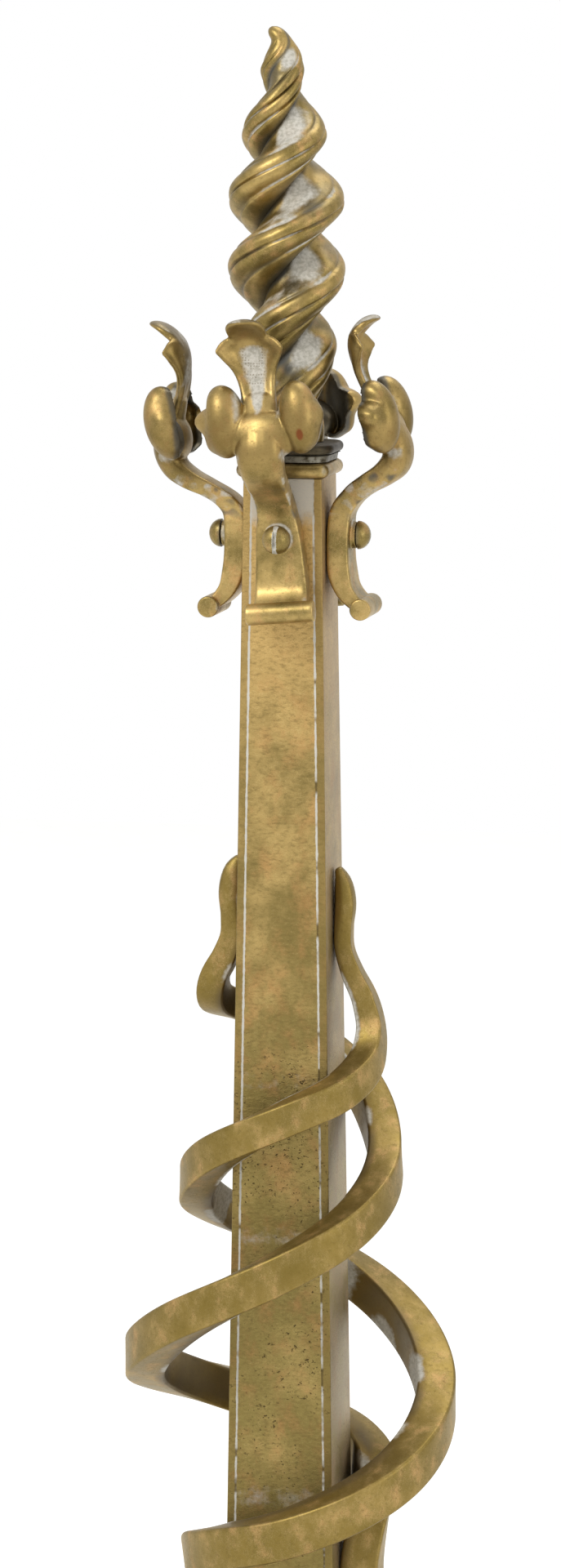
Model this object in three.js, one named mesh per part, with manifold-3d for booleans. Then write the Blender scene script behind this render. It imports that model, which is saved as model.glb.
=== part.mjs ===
// A brass andiron with a tall tapered upright, a twisted flame finial, four leaf brackets,
// two tendrils wound round the upright, two curved front legs and an iron billet bar.
// Millimetres, +Z up. The upright's front faces -Y, and the billet bar runs back along +Y.

import * as THREE from 'three';
import { mergeVertices } from 'three/addons/utils/BufferGeometryUtils.js';
import Module from 'manifold-3d';

const wasm = await Module();
wasm.setup();

// ---- Driving dimensions ----

const clearance = 0.3;             // gap between a piece and what it sits in or on

// feet and base block
const padThickness = 6;
const footPadRadius = 16;
const rearPadRadius = 20;
const blockBottom = 34;
const blockHeight = 40;
const blockWidth = 92;             // along X
const blockDepth = 64;             // along Y
const blockEdge = 3;
const collarHeight = 22;
const collarWall = 9;              // brass round the column and the tendrils' lower ends
const collarEdge = 2.5;

// upright: a square box of four plates, narrowing upwards
const columnTop = 599.5;
const columnTopWidth = 28.8;
const columnTaper = 0.0281;        // width lost per millimetre of height
const plateThickness = 3;

// cap and finial
const beadHeight = 5.4;
const beadReach = 2.7;             // how far the bead stands out past the column
const beadCorner = 3;
const beadEdge = 2.16;             // rounding of the bead's upper and lower edges
const capPlateHeight = 6.5;
const capPlateEdge = 2.4;
const capPlateWidth = 36;
const capCornerRadius = 9;
const finialHeight = 149.7;
const finialSocketDepth = 24;
const ridgeHeight = 60.6;          // height above the finial's foot where a ridge faces sideways
const ridgeFacing = 11.3;          // the direction it faces there, in degrees from +X
const ridgeSpacing = 26;           // height of half a turn of a strand
const ridgeQuickening = 3.8e-5;    // how the turns close up towards the tip
const finialHook = 7.2;            // sideways reach of the tip

// leaf brackets
const screwBelowTop = 21.2;        // from the column's top down to the screws
const strapThickness = 8.2;
const rollRadius = 3.9;
const rollLength = 25;
const bossRadius = 4.9;
const bossHeight = 1.9;
const lobeOffset = 15.2;           // sideways place of each side lobe
const lobeReach = 20.1;            // distance of a lobe's centre past the strap's middle
const lobeRise = 44.7;             // height of a lobe's centre above the screw
const lobeHalfWidth = 8;
const lobeHalfHeight = 13;
const lobeHalfDepth = 7.6;
const lobeWall = 1.8;
const lobeMouth = 0.55;            // how far its hollow is set back, as a share of its depth
const lobeTurn = 25.8;             // degrees that a lobe is turned towards the column's corner
const rollTuck = 0.6;              // how far a roll is tucked in under the strap's end
// heights above the screw where a bracket is bent
const leanStart = 16.7;            // the leaf leans in or out above this
const leafStart = 49.7;            // the trefoil is bent aside above this
const leafRise = 26;               // height over which it takes its full bend aside
const dropStart = 3.7;             // a bracket that is bent lower comes down between these two
const dropEnd = 23.7;

// screws
const screwHeadRadius = 5.2;
const screwHeadHeight = 4.6;
const screwShankRadius = 2.6;
const screwReach = 3.5;            // how far a shank stands out inside the column
const slotWidth = 1.5;
const slotDepth = 1.8;

// tendrils
const tendrilFootWidth = 15.6;
const tendrilFootThickness = 14.4;
const tendrilScrewHeight = 163;

// tie rod
const rodRadius = 4.75;
const rodEnd = 4;                  // length that stands out under the nut
const washerRadius = 12;
const washerThickness = 3;
const nutRadius = 9.2;             // to the corners
const nutHeight = 8.4;

// front legs
const legWidth = 17;
const legThickness = 13;
const legBoltRise = 23;            // above the block's underside
const boltHeadRadius = 6.5;
const boltHeadHeight = 4.2;
const boltRadius = 3.9;
const boltDepth = 14;              // length of a leg bolt in the block

// billet bar and rear leg
const barSize = 22;
const barRise = 4;                 // above the block's underside
const barLength = 400;             // from its front end, inside the block
const barSocket = 22;              // length of the bar's tenon inside the block
const tenonSize = 18;
const rearLegInset = 24;           // from the bar's rear end to the leg's centre
const rivetRadius = 4;
const rivetHeadRadius = 7;
const rivetHeadHeight = 3;
const rivetDepth = 16;             // length of the rivet in the rear leg
const holeEnd = 3;                 // room past the end of the rivet in its blind hole
const rearLegFlare = 3;            // how far the rear leg widens at its foot, on each side
const stopInset = 62;              // from the bar's rear end to the log stop's centre
const stopHeight = 24;
const stopThickness = 12;
const stopSeatDepth = 0.8;         // the stop sits in a shallow seat across the bar
const stopPinRadius = 4.2;
const stopSlimming = 3;            // how much narrower the stop is at its top, on each side

// ---- Worked out from them ----

const blockTop = blockBottom + blockHeight;
const legBoltHeight = blockBottom + legBoltRise;
const barBottom = blockBottom + barRise;
const columnFoot = blockTop + clearance;
const columnHalf = (z) => (columnTopWidth + (columnTop - z) * columnTaper) / 2;
const screwHeight = columnTop - screwBelowTop;
const barFront = blockDepth / 2 - barSocket;
const barRear = barFront + barLength;
const barTop = barBottom + barSize;
const barShoulder = blockDepth / 2 + clearance;
const tenonBottom = barBottom + (barSize - tenonSize) / 2;
const tenonTop = tenonBottom + tenonSize;
const beadBottom = columnTop + clearance;
const capPlateBottom = beadBottom + beadHeight + clearance;
const finialFoot = capPlateBottom + capPlateHeight + clearance;
const strapInside = columnHalf(screwHeight) + clearance;
const strapMiddle = strapInside + strapThickness / 2;
// distance of a tendril's middle from the axis where it stands against the column's side
const tendrilReach = (z) => columnHalf(z) + clearance + tendrilFootThickness / 2;

// ---- Materials ----

const brass = new THREE.MeshStandardMaterial({ color: 0xa08742, roughness: 0.38, metalness: 0.9 });
const brassPlate = new THREE.MeshStandardMaterial({ color: 0x9a7f3c, roughness: 0.5, metalness: 0.85 });
const brassCast = new THREE.MeshStandardMaterial({ color: 0xa38a4c, roughness: 0.42, metalness: 0.88 });
const iron = new THREE.MeshStandardMaterial({ color: 0x2c2926, roughness: 0.75, metalness: 0.5 });
const steel = new THREE.MeshStandardMaterial({ color: 0x5d5852, roughness: 0.55, metalness: 0.75 });

// ---- Joining and cutting ----

function toSolid(geometry) {
  const bare = geometry.clone();
  bare.deleteAttribute('normal');
  bare.deleteAttribute('uv');
  const merged = mergeVertices(bare, 1e-4);
  return new wasm.Manifold(new wasm.Mesh({
    numProp: 3,
    vertProperties: new Float32Array(merged.attributes.position.array),
    triVerts: new Uint32Array(merged.index.array),
  }));
}

function toGeometry(solid) {
  const mesh = solid.getMesh();
  const geometry = new THREE.BufferGeometry();
  geometry.setAttribute('position', new THREE.BufferAttribute(mesh.vertProperties, 3));
  geometry.setIndex(new THREE.BufferAttribute(mesh.triVerts, 1));
  geometry.computeVertexNormals();
  return geometry;
}

function join(first, ...others) {
  return toGeometry(others.reduce((whole, one) => whole.add(toSolid(one)), toSolid(first)));
}

function cut(first, ...others) {
  return toGeometry(others.reduce((rest, one) => rest.subtract(toSolid(one)), toSolid(first)));
}

// ---- Plain shapes ----

// a round bar along Z, from one height to another
function roundBar(radius, bottom, top, sides = 14) {
  const geometry = new THREE.CylinderGeometry(radius, radius, top - bottom, sides);
  return geometry.rotateX(Math.PI / 2).translate(0, 0, (bottom + top) / 2);
}

// a round bar along X, at a height
function crossBar(radius, from, to, height, sides = 12) {
  return roundBar(radius, from, to, sides).rotateY(Math.PI / 2).translate(0, 0, height);
}

function box(from, to) {
  const size = to.map((value, axis) => value - from[axis]);
  const middle = to.map((value, axis) => (value + from[axis]) / 2);
  return new THREE.BoxGeometry(...size).translate(...middle);
}

// a box whose four sides may lean: each rectangle is [x0, x1, y0, y1]
function taperedBox(bottom, low, top, high) {
  const geometry = new THREE.BoxGeometry(1, 1, 1);
  const place = geometry.attributes.position;
  for (let i = 0; i < place.count; i += 1) {
    const rectangle = place.getZ(i) < 0 ? low : high;
    const x = place.getX(i) < 0 ? rectangle[0] : rectangle[1];
    const y = place.getY(i) < 0 ? rectangle[2] : rectangle[3];
    place.setXYZ(i, x, y, place.getZ(i) < 0 ? bottom : top);
  }
  return geometry;
}

function roundedRectangle(width, depth, radius) {
  const x = width / 2;
  const y = depth / 2;
  const shape = new THREE.Shape();
  shape.moveTo(x, -y + radius);
  shape.lineTo(x, y - radius);
  shape.absarc(x - radius, y - radius, radius, 0, Math.PI / 2);
  shape.lineTo(-x + radius, y);
  shape.absarc(-x + radius, y - radius, radius, Math.PI / 2, Math.PI);
  shape.lineTo(-x, -y + radius);
  shape.absarc(-x + radius, -y + radius, radius, Math.PI, Math.PI * 1.5);
  shape.lineTo(x - radius, -y);
  shape.absarc(x - radius, -y + radius, radius, Math.PI * 1.5, Math.PI * 2);
  return shape;
}

// a rounded square pad whose upper and lower edges are rounded too
function cushionBlock(width, depth, corner, bottom, height, edge) {
  const outline = roundedRectangle(width - 2 * edge, depth - 2 * edge, corner);
  const geometry = new THREE.ExtrudeGeometry(outline, {
    depth: height - 2 * edge,
    bevelThickness: edge,
    bevelSize: edge,
    bevelSegments: 2,
    curveSegments: 2,
  });
  return geometry.translate(0, 0, bottom + edge);
}

// ---- Bars that change their section along a path ----

// A path through nodes [x, y, z, thickness, width]. The thickness lies along the path's own
// "outward" direction, and the width across it.
class ShapedPath extends THREE.Curve {
  constructor(nodes, outward, place = (p) => p) {
    super();
    const places = nodes.map((n) => new THREE.Vector3(n[0], n[1], n[2]));
    const sizes = nodes.map((n) => new THREE.Vector3(n[3], n[4], 0));
    this.route = new THREE.CatmullRomCurve3(places, false, 'centripetal');
    this.sizes = new THREE.CatmullRomCurve3(sizes, false, 'centripetal');
    this.outward = outward;
    this.place = place;
  }

  getPoint(t, target = new THREE.Vector3()) {
    return target.copy(this.place(this.route.getPoint(t)));
  }

  computeFrenetFrames(segments) {
    const frames = { tangents: [], normals: [], binormals: [] };
    for (let i = 0; i <= segments; i += 1) {
      const t = this.getUtoTmapping(i / segments);
      const size = this.sizes.getPoint(t);
      const tangent = this.getTangent(t);
      const normal = this.outward(this.getPoint(t), tangent);
      normal.addScaledVector(tangent, -normal.dot(tangent)).normalize();
      const binormal = new THREE.Vector3().crossVectors(tangent, normal);
      frames.tangents.push(tangent);
      frames.normals.push(normal.multiplyScalar(size.x));
      frames.binormals.push(binormal.multiplyScalar(size.y));
    }
    return frames;
  }
}

// a square of side 1 with its corners taken off
function barSection(chamfer) {
  const near = 0.5 - chamfer;
  const points = [[0.5, -near], [0.5, near], [near, 0.5], [-near, 0.5],
    [-0.5, near], [-0.5, -near], [-near, -0.5], [near, -0.5]];
  return new THREE.Shape(points.map(([x, y]) => new THREE.Vector2(x, y)));
}

function shapedBar(path, steps, chamfer) {
  return new THREE.ExtrudeGeometry(barSection(chamfer), { steps, extrudePath: path });
}

// ---- Screws and bolts ----

// a slotted screw with a domed head, pointing up +X, its head seated at x = seat
function domedScrew(seat, tip, headRadius, headHeight, shankRadius) {
  const profile = [new THREE.Vector2(0, 0), new THREE.Vector2(shankRadius, 0)];
  const shankLength = seat - tip;
  profile.push(new THREE.Vector2(shankRadius, shankLength));
  const arcSteps = 3;
  for (let i = 0; i <= arcSteps; i += 1) {
    const angle = (i / arcSteps) * (Math.PI / 2);
    const reach = headRadius * Math.cos(angle);
    const rise = headHeight * Math.sin(angle);
    profile.push(new THREE.Vector2(i === arcSteps ? 0 : reach, shankLength + rise));
  }
  const body = new THREE.LatheGeometry(profile, 12).rotateZ(-Math.PI / 2).translate(tip, 0, 0);
  const end = seat + headHeight;
  const slot = box([end - slotDepth, -slotWidth / 2, -headRadius], [end + 1, slotWidth / 2, headRadius]);
  return cut(body, slot);
}

function hexBolt(seat, tip, headRadius, headHeight, shankRadius) {
  const shank = roundBar(shankRadius, tip, seat + headHeight / 2, 12);
  const head = roundBar(headRadius, seat, seat + headHeight, 6);
  return join(shank, head).rotateY(Math.PI / 2);
}

// ---- Column ----

const screwHoleRadius = screwShankRadius + clearance;
const sides = [
  { name: 'right', turn: 0, lean: -0.15, drop: 0.4, aside: 0, twist: 0 },
  { name: 'back', turn: 90, lean: 0, drop: 0, aside: 4, twist: -5 },
  { name: 'left', turn: 180, lean: 0.15, drop: 3.4, aside: 0, twist: 0 },
  { name: 'front', turn: -90, lean: 0, drop: 0, aside: -3, twist: 4.5 },
];

function columnPlate(side) {
  const full = side.name === 'left' || side.name === 'right';
  const inset = full ? 0 : plateThickness + clearance;
  const rectangle = (z) => {
    const half = columnHalf(z);
    return [half - plateThickness, half, -half + inset, half - inset];
  };
  const plate = taperedBox(columnFoot, rectangle(columnFoot), columnTop, rectangle(columnTop));
  const reach = columnHalf(columnFoot) + 1;
  const holes = [crossBar(screwHoleRadius, 0, reach, screwHeight)];
  if (full) {
    holes.push(crossBar(screwHoleRadius, 0, reach, tendrilScrewHeight));
  }
  return cut(plate, ...holes);
}

// ---- Leaf brackets ----

// strap, bulb and trefoil tip: [distance past the strap's middle, height above the screw, thickness, width]
const bracketNodes = [
  [5.5, -23.3, 5.8, 19.2],
  [2.5, -19.5, 6.8, 19],
  [0.7, -14.3, strapThickness, 18.4],
  [0, -8.3, strapThickness, 17.6],
  [0, 2.7, strapThickness, 15.8],
  [1, 9.3, strapThickness, 14],
  [5.1, 15.1, 7.8, 13.2],
  [10.7, 19.3, 7.4, 13.4],
  [16.9, 22.9, 7.6, 15],
  [22.1, 27.5, 8.8, 16.8],
  [23.9, 33.3, 8.8, 18.4],
  [22.7, 39.7, 6.6, 20],
  [19.3, 47.1, 5.0, 19],
  [15.1, 54.3, 3.8, 13],
  [12.5, 61.1, 3.6, 17],
  [11.7, 66.5, 3.4, 23],
  [13.3, 70.9, 3.2, 21],
  [17.1, 74.1, 3.0, 13.4],
  [21.3, 76.1, 2.6, 9],
  [23.7, 76.6, 1.8, 4],
];

function bracket(side) {
  const { smoothstep } = THREE.MathUtils;
  const leaned = (past, rise) => strapMiddle + past + side.lean * Math.max(0, rise - leanStart);
  const dropped = (rise) => screwHeight + rise - side.drop * smoothstep(rise, dropStart, dropEnd);
  const asideAt = (rise) => side.aside * Math.max(0, (rise - leafStart) / leafRise);
  const nodes = bracketNodes.map(([past, rise, thickness, width]) => (
    [leaned(past, rise), asideAt(rise), dropped(rise), thickness, width]));
  const path = new ShapedPath(nodes, (point, tangent) => new THREE.Vector3(tangent.z, 0, -tangent.x));
  const strap = shapedBar(path, 26, 0.1);
  const lobes = [-1, 1].map((way) => {
    const outer = new THREE.SphereGeometry(1, 10, 8);
    outer.scale(lobeHalfDepth, lobeHalfWidth, lobeHalfHeight);
    const inner = new THREE.SphereGeometry(1, 8, 6);
    inner.scale(lobeHalfDepth - lobeWall, lobeHalfWidth - lobeWall, lobeHalfHeight - lobeWall);
    inner.translate(-lobeHalfDepth * lobeMouth, -way * lobeWall, 0);
    const turned = (geometry) => {
      geometry.rotateZ(way * THREE.MathUtils.degToRad(lobeTurn));
      return geometry.translate(leaned(lobeReach, lobeRise), way * lobeOffset, dropped(lobeRise));
    };
    return cut(turned(outer), turned(inner));
  });
  const boss = crossBar(bossRadius, strapMiddle, strapInside + strapThickness + bossHeight, screwHeight, 12);
  const hole = crossBar(screwHoleRadius, 0, strapMiddle * 2, screwHeight);
  return cut(join(strap, ...lobes, boss), hole);
}

function bracketRoll() {
  const [endPast, endRise, endThickness] = bracketNodes[0];
  const reach = strapMiddle + endPast + rollRadius - rollTuck + clearance;
  const height = screwHeight + endRise - endThickness / 2;
  return roundBar(rollRadius, -rollLength / 2, rollLength / 2, 18)
    .rotateX(Math.PI / 2)
    .translate(reach, 0, height);
}

function bracketScrew() {
  const seat = strapInside + strapThickness + bossHeight + clearance;
  const tip = columnHalf(screwHeight) - plateThickness - screwReach;
  return domedScrew(seat, tip, screwHeadRadius, screwHeadHeight, screwShankRadius).translate(0, 0, screwHeight);
}

// ---- Finial ----

// ridge and hollow radii up the flame: [height above its foot, ridge, hollow, sideways lean]
const flameNodes = [
  [0, 12.0, 10.5, 0],
  [6, 12.2, 10.0, 0],
  [18, 14.6, 10.4, -0.2],
  [34, 17.2, 11.0, -0.6],
  [48, 19.6, 11.2, -1.0],
  [61, 20.9, 11.8, -1.1],
  [75, 21.3, 12.1, -1.0],
  [87, 21.0, 11.7, -0.8],
  [101, 18.6, 10.6, -1.1],
  [112, 15.6, 8.8, -1.6],
  [124, 10.8, 6.6, -2.2],
  [133, 8.1, 5.2, -2.8],
  [140, 5.8, 4.2, -4.2],
  [146, 3.2, 2.6, -6.2],
];

function flameAt(height) {
  let i = 0;
  while (i < flameNodes.length - 2 && flameNodes[i + 1][0] < height) i += 1;
  const [low, high] = [flameNodes[i], flameNodes[i + 1]];
  const share = Math.min(1, (height - low[0]) / (high[0] - low[0]));
  return low.map((value, k) => value + (high[k] - value) * share);
}

function ridgeAngle(height) {
  const above = height - ridgeHeight;
  const halfTurns = above / ridgeSpacing + ridgeQuickening * above * Math.abs(above);
  return THREE.MathUtils.degToRad(ridgeFacing) + halfTurns * Math.PI;
}

function finial() {
  const rows = 40;
  const around = 20;
  const top = flameNodes[flameNodes.length - 1][0];
  const profile = [new THREE.Vector2(0, 0)];
  for (let i = 0; i <= rows; i += 1) profile.push(new THREE.Vector2(1, (top * i) / rows));
  profile.push(new THREE.Vector2(0, finialHeight));
  const flame = new THREE.LatheGeometry(profile, around).rotateX(Math.PI / 2);
  const place = flame.attributes.position;
  for (let i = 0; i < place.count; i += 1) {
    const height = place.getZ(i);
    const unit = Math.hypot(place.getX(i), place.getY(i));
    const [, ridge, hollow, lean] = flameAt(height);
    const fromRidge = Math.atan2(place.getY(i), place.getX(i));
    const angle = fromRidge + ridgeAngle(height);
    const swell = 0.5 + 0.5 * Math.cos(2 * fromRidge);
    const radius = unit * (hollow + (ridge - hollow) * swell);
    const shift = unit < 0.5 && height > top ? -finialHook : lean;
    place.setXY(i, radius * Math.cos(angle) + shift, radius * Math.sin(angle));
  }
  const socket = roundBar(rodRadius + clearance, -1, finialSocketDepth);
  return cut(flame, socket).translate(0, 0, finialFoot);
}

// ---- Tendrils ----

// [degrees round the column, distance of the bar's middle from the column's side, height above the
// tendril's screw, thickness, width]
const againstColumn = clearance + tendrilFootThickness / 2;
const straightTop = 11;             // below this a tendril stands upright against the column
const footRise = columnFoot - tendrilScrewHeight;
const rightTendrilNodes = [
  [2, 1.8, 292.5, 2.6, 4.5],
  [2, 3.5, 287.5, 6.2, 8.4],
  [2, 4.3, 279.5, 8.0, 10.0],
  [1, 3.8, 270.5, 6.8, 9.0],
  [1, 4, 262.5, 6.4, 8.4],
  [0, 7, 253.5, 7.4, 9.0],
  [-1, 11.1, 245, 8.4, 9.8],
  [-3, 13.8, 235, 9.4, 10.6],
  [-12, 14.8, 225.5, 10.2, 11.2],
  [-40, 15.7, 215, 11.0, 11.8],
  [-78.7, 16.6, 205.5, 11.6, 12.2],
  [-124, 16.8, 191.5, 12.2, 12.6],
  [-168.7, 16.7, 174, 12.4, 13.0],
  [-214, 19.5, 159, 12.8, 13.4],
  [-258.7, 25.1, 143, 13.2, 13.8],
  [-304, 31.4, 122, 13.8, 14.4],
  [-348.7, 35.6, 94.7, 14.4, 15.0],
  [-394, 32.7, 70, 15.0, 15.4],
  [-438.7, 24.4, 52.5, 15.2, 15.6],
  [-484, 17.3, 42, 14.8, tendrilFootWidth],
  [-514, 14, 34.5, 14.2, tendrilFootWidth],
  [-532, 9.7, 24, tendrilFootThickness, tendrilFootWidth],
  [-540, againstColumn, straightTop, tendrilFootThickness, tendrilFootWidth],
  [-540, againstColumn, 1, tendrilFootThickness, tendrilFootWidth],
  [-540, againstColumn, -13, tendrilFootThickness, tendrilFootWidth],
  [-540, againstColumn, footRise, tendrilFootThickness, tendrilFootWidth],
];

const leftTendrilNodes = [
  [-182, 2.2, 295.5, 3.4, 4.5],
  [-182, 4.6, 291, 7.4, 8.4],
  [-182, 5.8, 283, 9.2, 10.0],
  [-181, 5.1, 273.5, 8.4, 9.0],
  [-181, 5, 266.5, 8.2, 8.6],
  [-182, 7.7, 258.5, 9.2, 9.4],
  [-184, 12, 250.5, 10.2, 10.4],
  [-194, 14.1, 242.5, 10.4, 11.0],
  [-226, 14.4, 235.5, 10.6, 11.4],
  [-258.7, 15.1, 228, 11.0, 11.8],
  [-304, 16.4, 210, 11.6, 12.2],
  [-348.7, 17.5, 187, 12.4, 12.8],
  [-394, 20.6, 169, 13.2, 13.4],
  [-438.7, 25.8, 152, 13.8, 14.2],
  [-484, 31.7, 132, 14.2, 14.6],
  [-528.7, 35, 107.8, 14.8, 15.0],
  [-574, 31.5, 90, 15.2, 15.4],
  [-618.7, 23.7, 77, 15.2, 15.6],
  [-664, 17.2, 67, 14.8, tendrilFootWidth],
  [-696, 13.5, 58, 14.2, tendrilFootWidth],
  [-712, 9.7, 45, tendrilFootThickness, tendrilFootWidth],
  [-720, againstColumn, 29, tendrilFootThickness, tendrilFootWidth],
  [-720, againstColumn, straightTop, tendrilFootThickness, tendrilFootWidth],
  [-720, againstColumn, -13, tendrilFootThickness, tendrilFootWidth],
  [-720, againstColumn, footRise, tendrilFootThickness, tendrilFootWidth],
];

function tendril(nodes, side) {
  const wound = (p) => {
    const angle = THREE.MathUtils.degToRad(p.x);
    const height = tendrilScrewHeight + p.z;
    const reach = columnHalf(height) + p.y;
    return new THREE.Vector3(reach * Math.cos(angle), reach * Math.sin(angle), height);
  };
  const fromAxis = (point) => new THREE.Vector3(point.x, point.y, 0);
  const bar = shapedBar(new ShapedPath(nodes, fromAxis, wound), 76, 0.1);
  const reach = tendrilReach(tendrilScrewHeight) * 2;
  const hole = crossBar(screwHoleRadius, 0, reach, tendrilScrewHeight).rotateZ(side);
  return cut(bar, hole);
}

const tendrilScrewSeat = tendrilReach(tendrilScrewHeight) + tendrilFootThickness / 2 + clearance;

function tendrilScrew() {
  const tip = columnHalf(tendrilScrewHeight) - plateThickness - screwReach;
  return domedScrew(tendrilScrewSeat, tip, screwHeadRadius, screwHeadHeight, screwShankRadius)
    .translate(0, 0, tendrilScrewHeight);
}

// ---- Base ----

function baseCollar() {
  const columnHole = columnHalf(blockTop) + clearance;
  const barReach = tendrilReach(blockTop) + tendrilFootThickness / 2 + clearance;
  const barHalf = tendrilFootWidth / 2 + clearance;
  const width = 2 * (barReach + collarWall);
  const depth = 2 * (columnHole + collarWall);
  const bottom = blockTop + clearance;
  const body = cushionBlock(width, depth, 4, bottom, collarHeight, collarEdge);
  const above = blockTop + 2 * collarHeight;
  const columnSpace = box([-columnHole, -columnHole, bottom - 1], [columnHole, columnHole, above]);
  const barSpace = box([-barReach, -barHalf, bottom - 1], [barReach, barHalf, above]);
  return cut(body, columnSpace, barSpace);
}

function baseBlock() {
  const block = cushionBlock(blockWidth, blockDepth, 5, blockBottom, blockHeight, blockEdge);
  const rodHole = roundBar(rodRadius + clearance, blockBottom - 1, blockTop + 1);
  const socketHalf = tenonSize / 2 + clearance;
  const barHole = box(
    [-socketHalf, barFront - clearance, tenonBottom - clearance],
    [socketHalf, blockDepth, tenonTop + clearance],
  );
  const boltHole = roundBar(rivetRadius + clearance, blockBottom - 1, tenonBottom)
    .translate(0, barFront + barSocket / 2, 0);
  const legHoleEnd = blockWidth / 2 - boltDepth - clearance;
  const legHoles = [0, Math.PI].map((turn) => (
    crossBar(boltRadius + clearance, legHoleEnd, blockWidth, legBoltHeight).rotateZ(turn)));
  return cut(block, rodHole, barHole, boltHole, ...legHoles);
}

// ---- Front legs ----

const legInside = blockWidth / 2 + clearance;
const legMiddle = legInside + legThickness / 2;
const legSole = padThickness + clearance;

// [distance from the axis, height, thickness, width]
const legNodes = [
  [legMiddle, blockTop - 2, legThickness, legWidth],
  [legMiddle, legBoltHeight, legThickness, legWidth],
  [legMiddle, legBoltHeight - 7, legThickness, legWidth],
  [legMiddle + 1.8, blockBottom + 9, legThickness, legWidth],
  [legMiddle + 8, blockBottom + 2, legThickness, legWidth],
  [legMiddle + 19, blockBottom - 0.5, 12.8, 16.8],
  [legMiddle + 33, blockBottom + 1.5, 12.4, 16.4],
  [legMiddle + 46, blockBottom + 1.5, 12.0, 16.0],
  [legMiddle + 57, blockBottom - 5, 11.6, 15.6],
  [legMiddle + 65, legSole + 12.2, 11.2, 15.2],
  [legMiddle + 75, legSole + 6.6, 10.8, 15.0],
  [legMiddle + 87, legSole + 5.5, 10.2, 14.6],
  [legMiddle + 97, legSole + 11, 9.2, 14.2],
  [legMiddle + 98, legSole + 20.5, 8.0, 13.6],
  [legMiddle + 91, legSole + 25, 6.6, 13.0],
];
const footPadReach = legMiddle + 83;

function frontLeg() {
  const nodes = legNodes.map(([reach, height, thickness, width]) => [reach, 0, height, thickness, width]);
  const path = new ShapedPath(nodes, (point, tangent) => new THREE.Vector3(-tangent.z, 0, tangent.x));
  const leg = shapedBar(path, 32, 0.1);
  const hole = crossBar(boltRadius + clearance, 0, legInside + legThickness + 4, legBoltHeight);
  return cut(leg, hole);
}

function legBolt() {
  const seat = legInside + legThickness + clearance;
  return hexBolt(seat, blockWidth / 2 - boltDepth, boltHeadRadius, boltHeadHeight, boltRadius)
    .translate(0, 0, legBoltHeight);
}

function footPad(radius) {
  const edge = 1.5;
  const corners = [[0, 0], [radius, 0], [radius, padThickness - edge], [radius - edge, padThickness],
    [0, padThickness]];
  const profile = corners.map(([r, z]) => new THREE.Vector2(r, z));
  return new THREE.LatheGeometry(profile, 24).rotateX(Math.PI / 2);
}

// ---- Billet bar, rear leg and log stop ----

const rearLegPlace = barRear - rearLegInset;
const stopPlace = barRear - stopInset;
const barHalfSize = barSize / 2;

function billetBar() {
  const bar = box([-barHalfSize, barShoulder, barBottom], [barHalfSize, barRear, barTop]);
  const tenon = box([-tenonSize / 2, barFront, tenonBottom], [tenonSize / 2, barShoulder + 1, tenonTop]);
  const boltHole = roundBar(rivetRadius + clearance, barBottom - 1, barTop + 1)
    .translate(0, barFront + barSocket / 2, 0);
  const rivetHole = roundBar(rivetRadius + clearance, barBottom - 1, barTop + 1).translate(0, rearLegPlace, 0);
  const pinHole = roundBar(stopPinRadius + clearance, barBottom - 1, barTop + 1).translate(0, stopPlace, 0);
  const seatHalf = stopThickness / 2 + clearance;
  const stopSeat = box(
    [-barSize, stopPlace - seatHalf, barTop - stopSeatDepth],
    [barSize, stopPlace + seatHalf, barTop + 1],
  );
  return cut(join(bar, tenon), boltHole, rivetHole, pinHole, stopSeat);
}

function rearLeg() {
  const top = barBottom - clearance;
  const bottom = padThickness + clearance;
  const footHalf = barHalfSize + rearLegFlare;
  const leg = taperedBox(
    bottom,
    [-footHalf, footHalf, -footHalf, footHalf],
    top,
    [-barHalfSize, barHalfSize, -barHalfSize, barHalfSize],
  );
  const rivetHole = roundBar(rivetRadius + clearance, top - rivetDepth - holeEnd, top + 1);
  return cut(leg, rivetHole).translate(0, rearLegPlace, 0);
}

function rearLegRivet() {
  const shank = roundBar(rivetRadius, barBottom - rivetDepth, barTop + clearance + rivetHeadHeight / 2, 14);
  const head = roundBar(rivetHeadRadius, 0, rivetHeadHeight, 16).translate(0, 0, barTop + clearance);
  return join(shank, head).translate(0, rearLegPlace, 0);
}

function billetBolt() {
  const top = tenonTop;
  const seat = blockBottom - clearance;
  const shank = roundBar(rivetRadius, seat - boltHeadHeight / 2, top, 14);
  const head = roundBar(boltHeadRadius, seat - boltHeadHeight, seat, 6);
  return join(shank, head).translate(0, barFront + barSocket / 2, 0);
}

function logStop() {
  const bottom = barTop - stopSeatDepth + clearance;
  const topHalf = barHalfSize - stopSlimming;
  const lug = taperedBox(
    bottom,
    [-barHalfSize, barHalfSize, -stopThickness / 2, stopThickness / 2],
    bottom + stopHeight,
    [-topHalf, topHalf, -stopThickness / 2 + 1, stopThickness / 2 - 1],
  );
  const pin = roundBar(stopPinRadius, barBottom, bottom + 2, 14);
  return join(lug, pin).translate(0, stopPlace, 0);
}

// ---- Tie rod ----

function pierced(radius, bottom, top, sidesCount) {
  return cut(roundBar(radius, bottom, top, sidesCount), roundBar(rodRadius + clearance, bottom - 1, top + 1));
}

const washerTop = blockBottom - clearance;
const nutTop = washerTop - washerThickness - clearance;

// ---- Assembly ----

const upright = new THREE.Group();

function add(group, name, geometry, material) {
  const mesh = new THREE.Mesh(geometry, material);
  mesh.name = name;
  group.add(mesh);
  return mesh;
}

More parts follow.
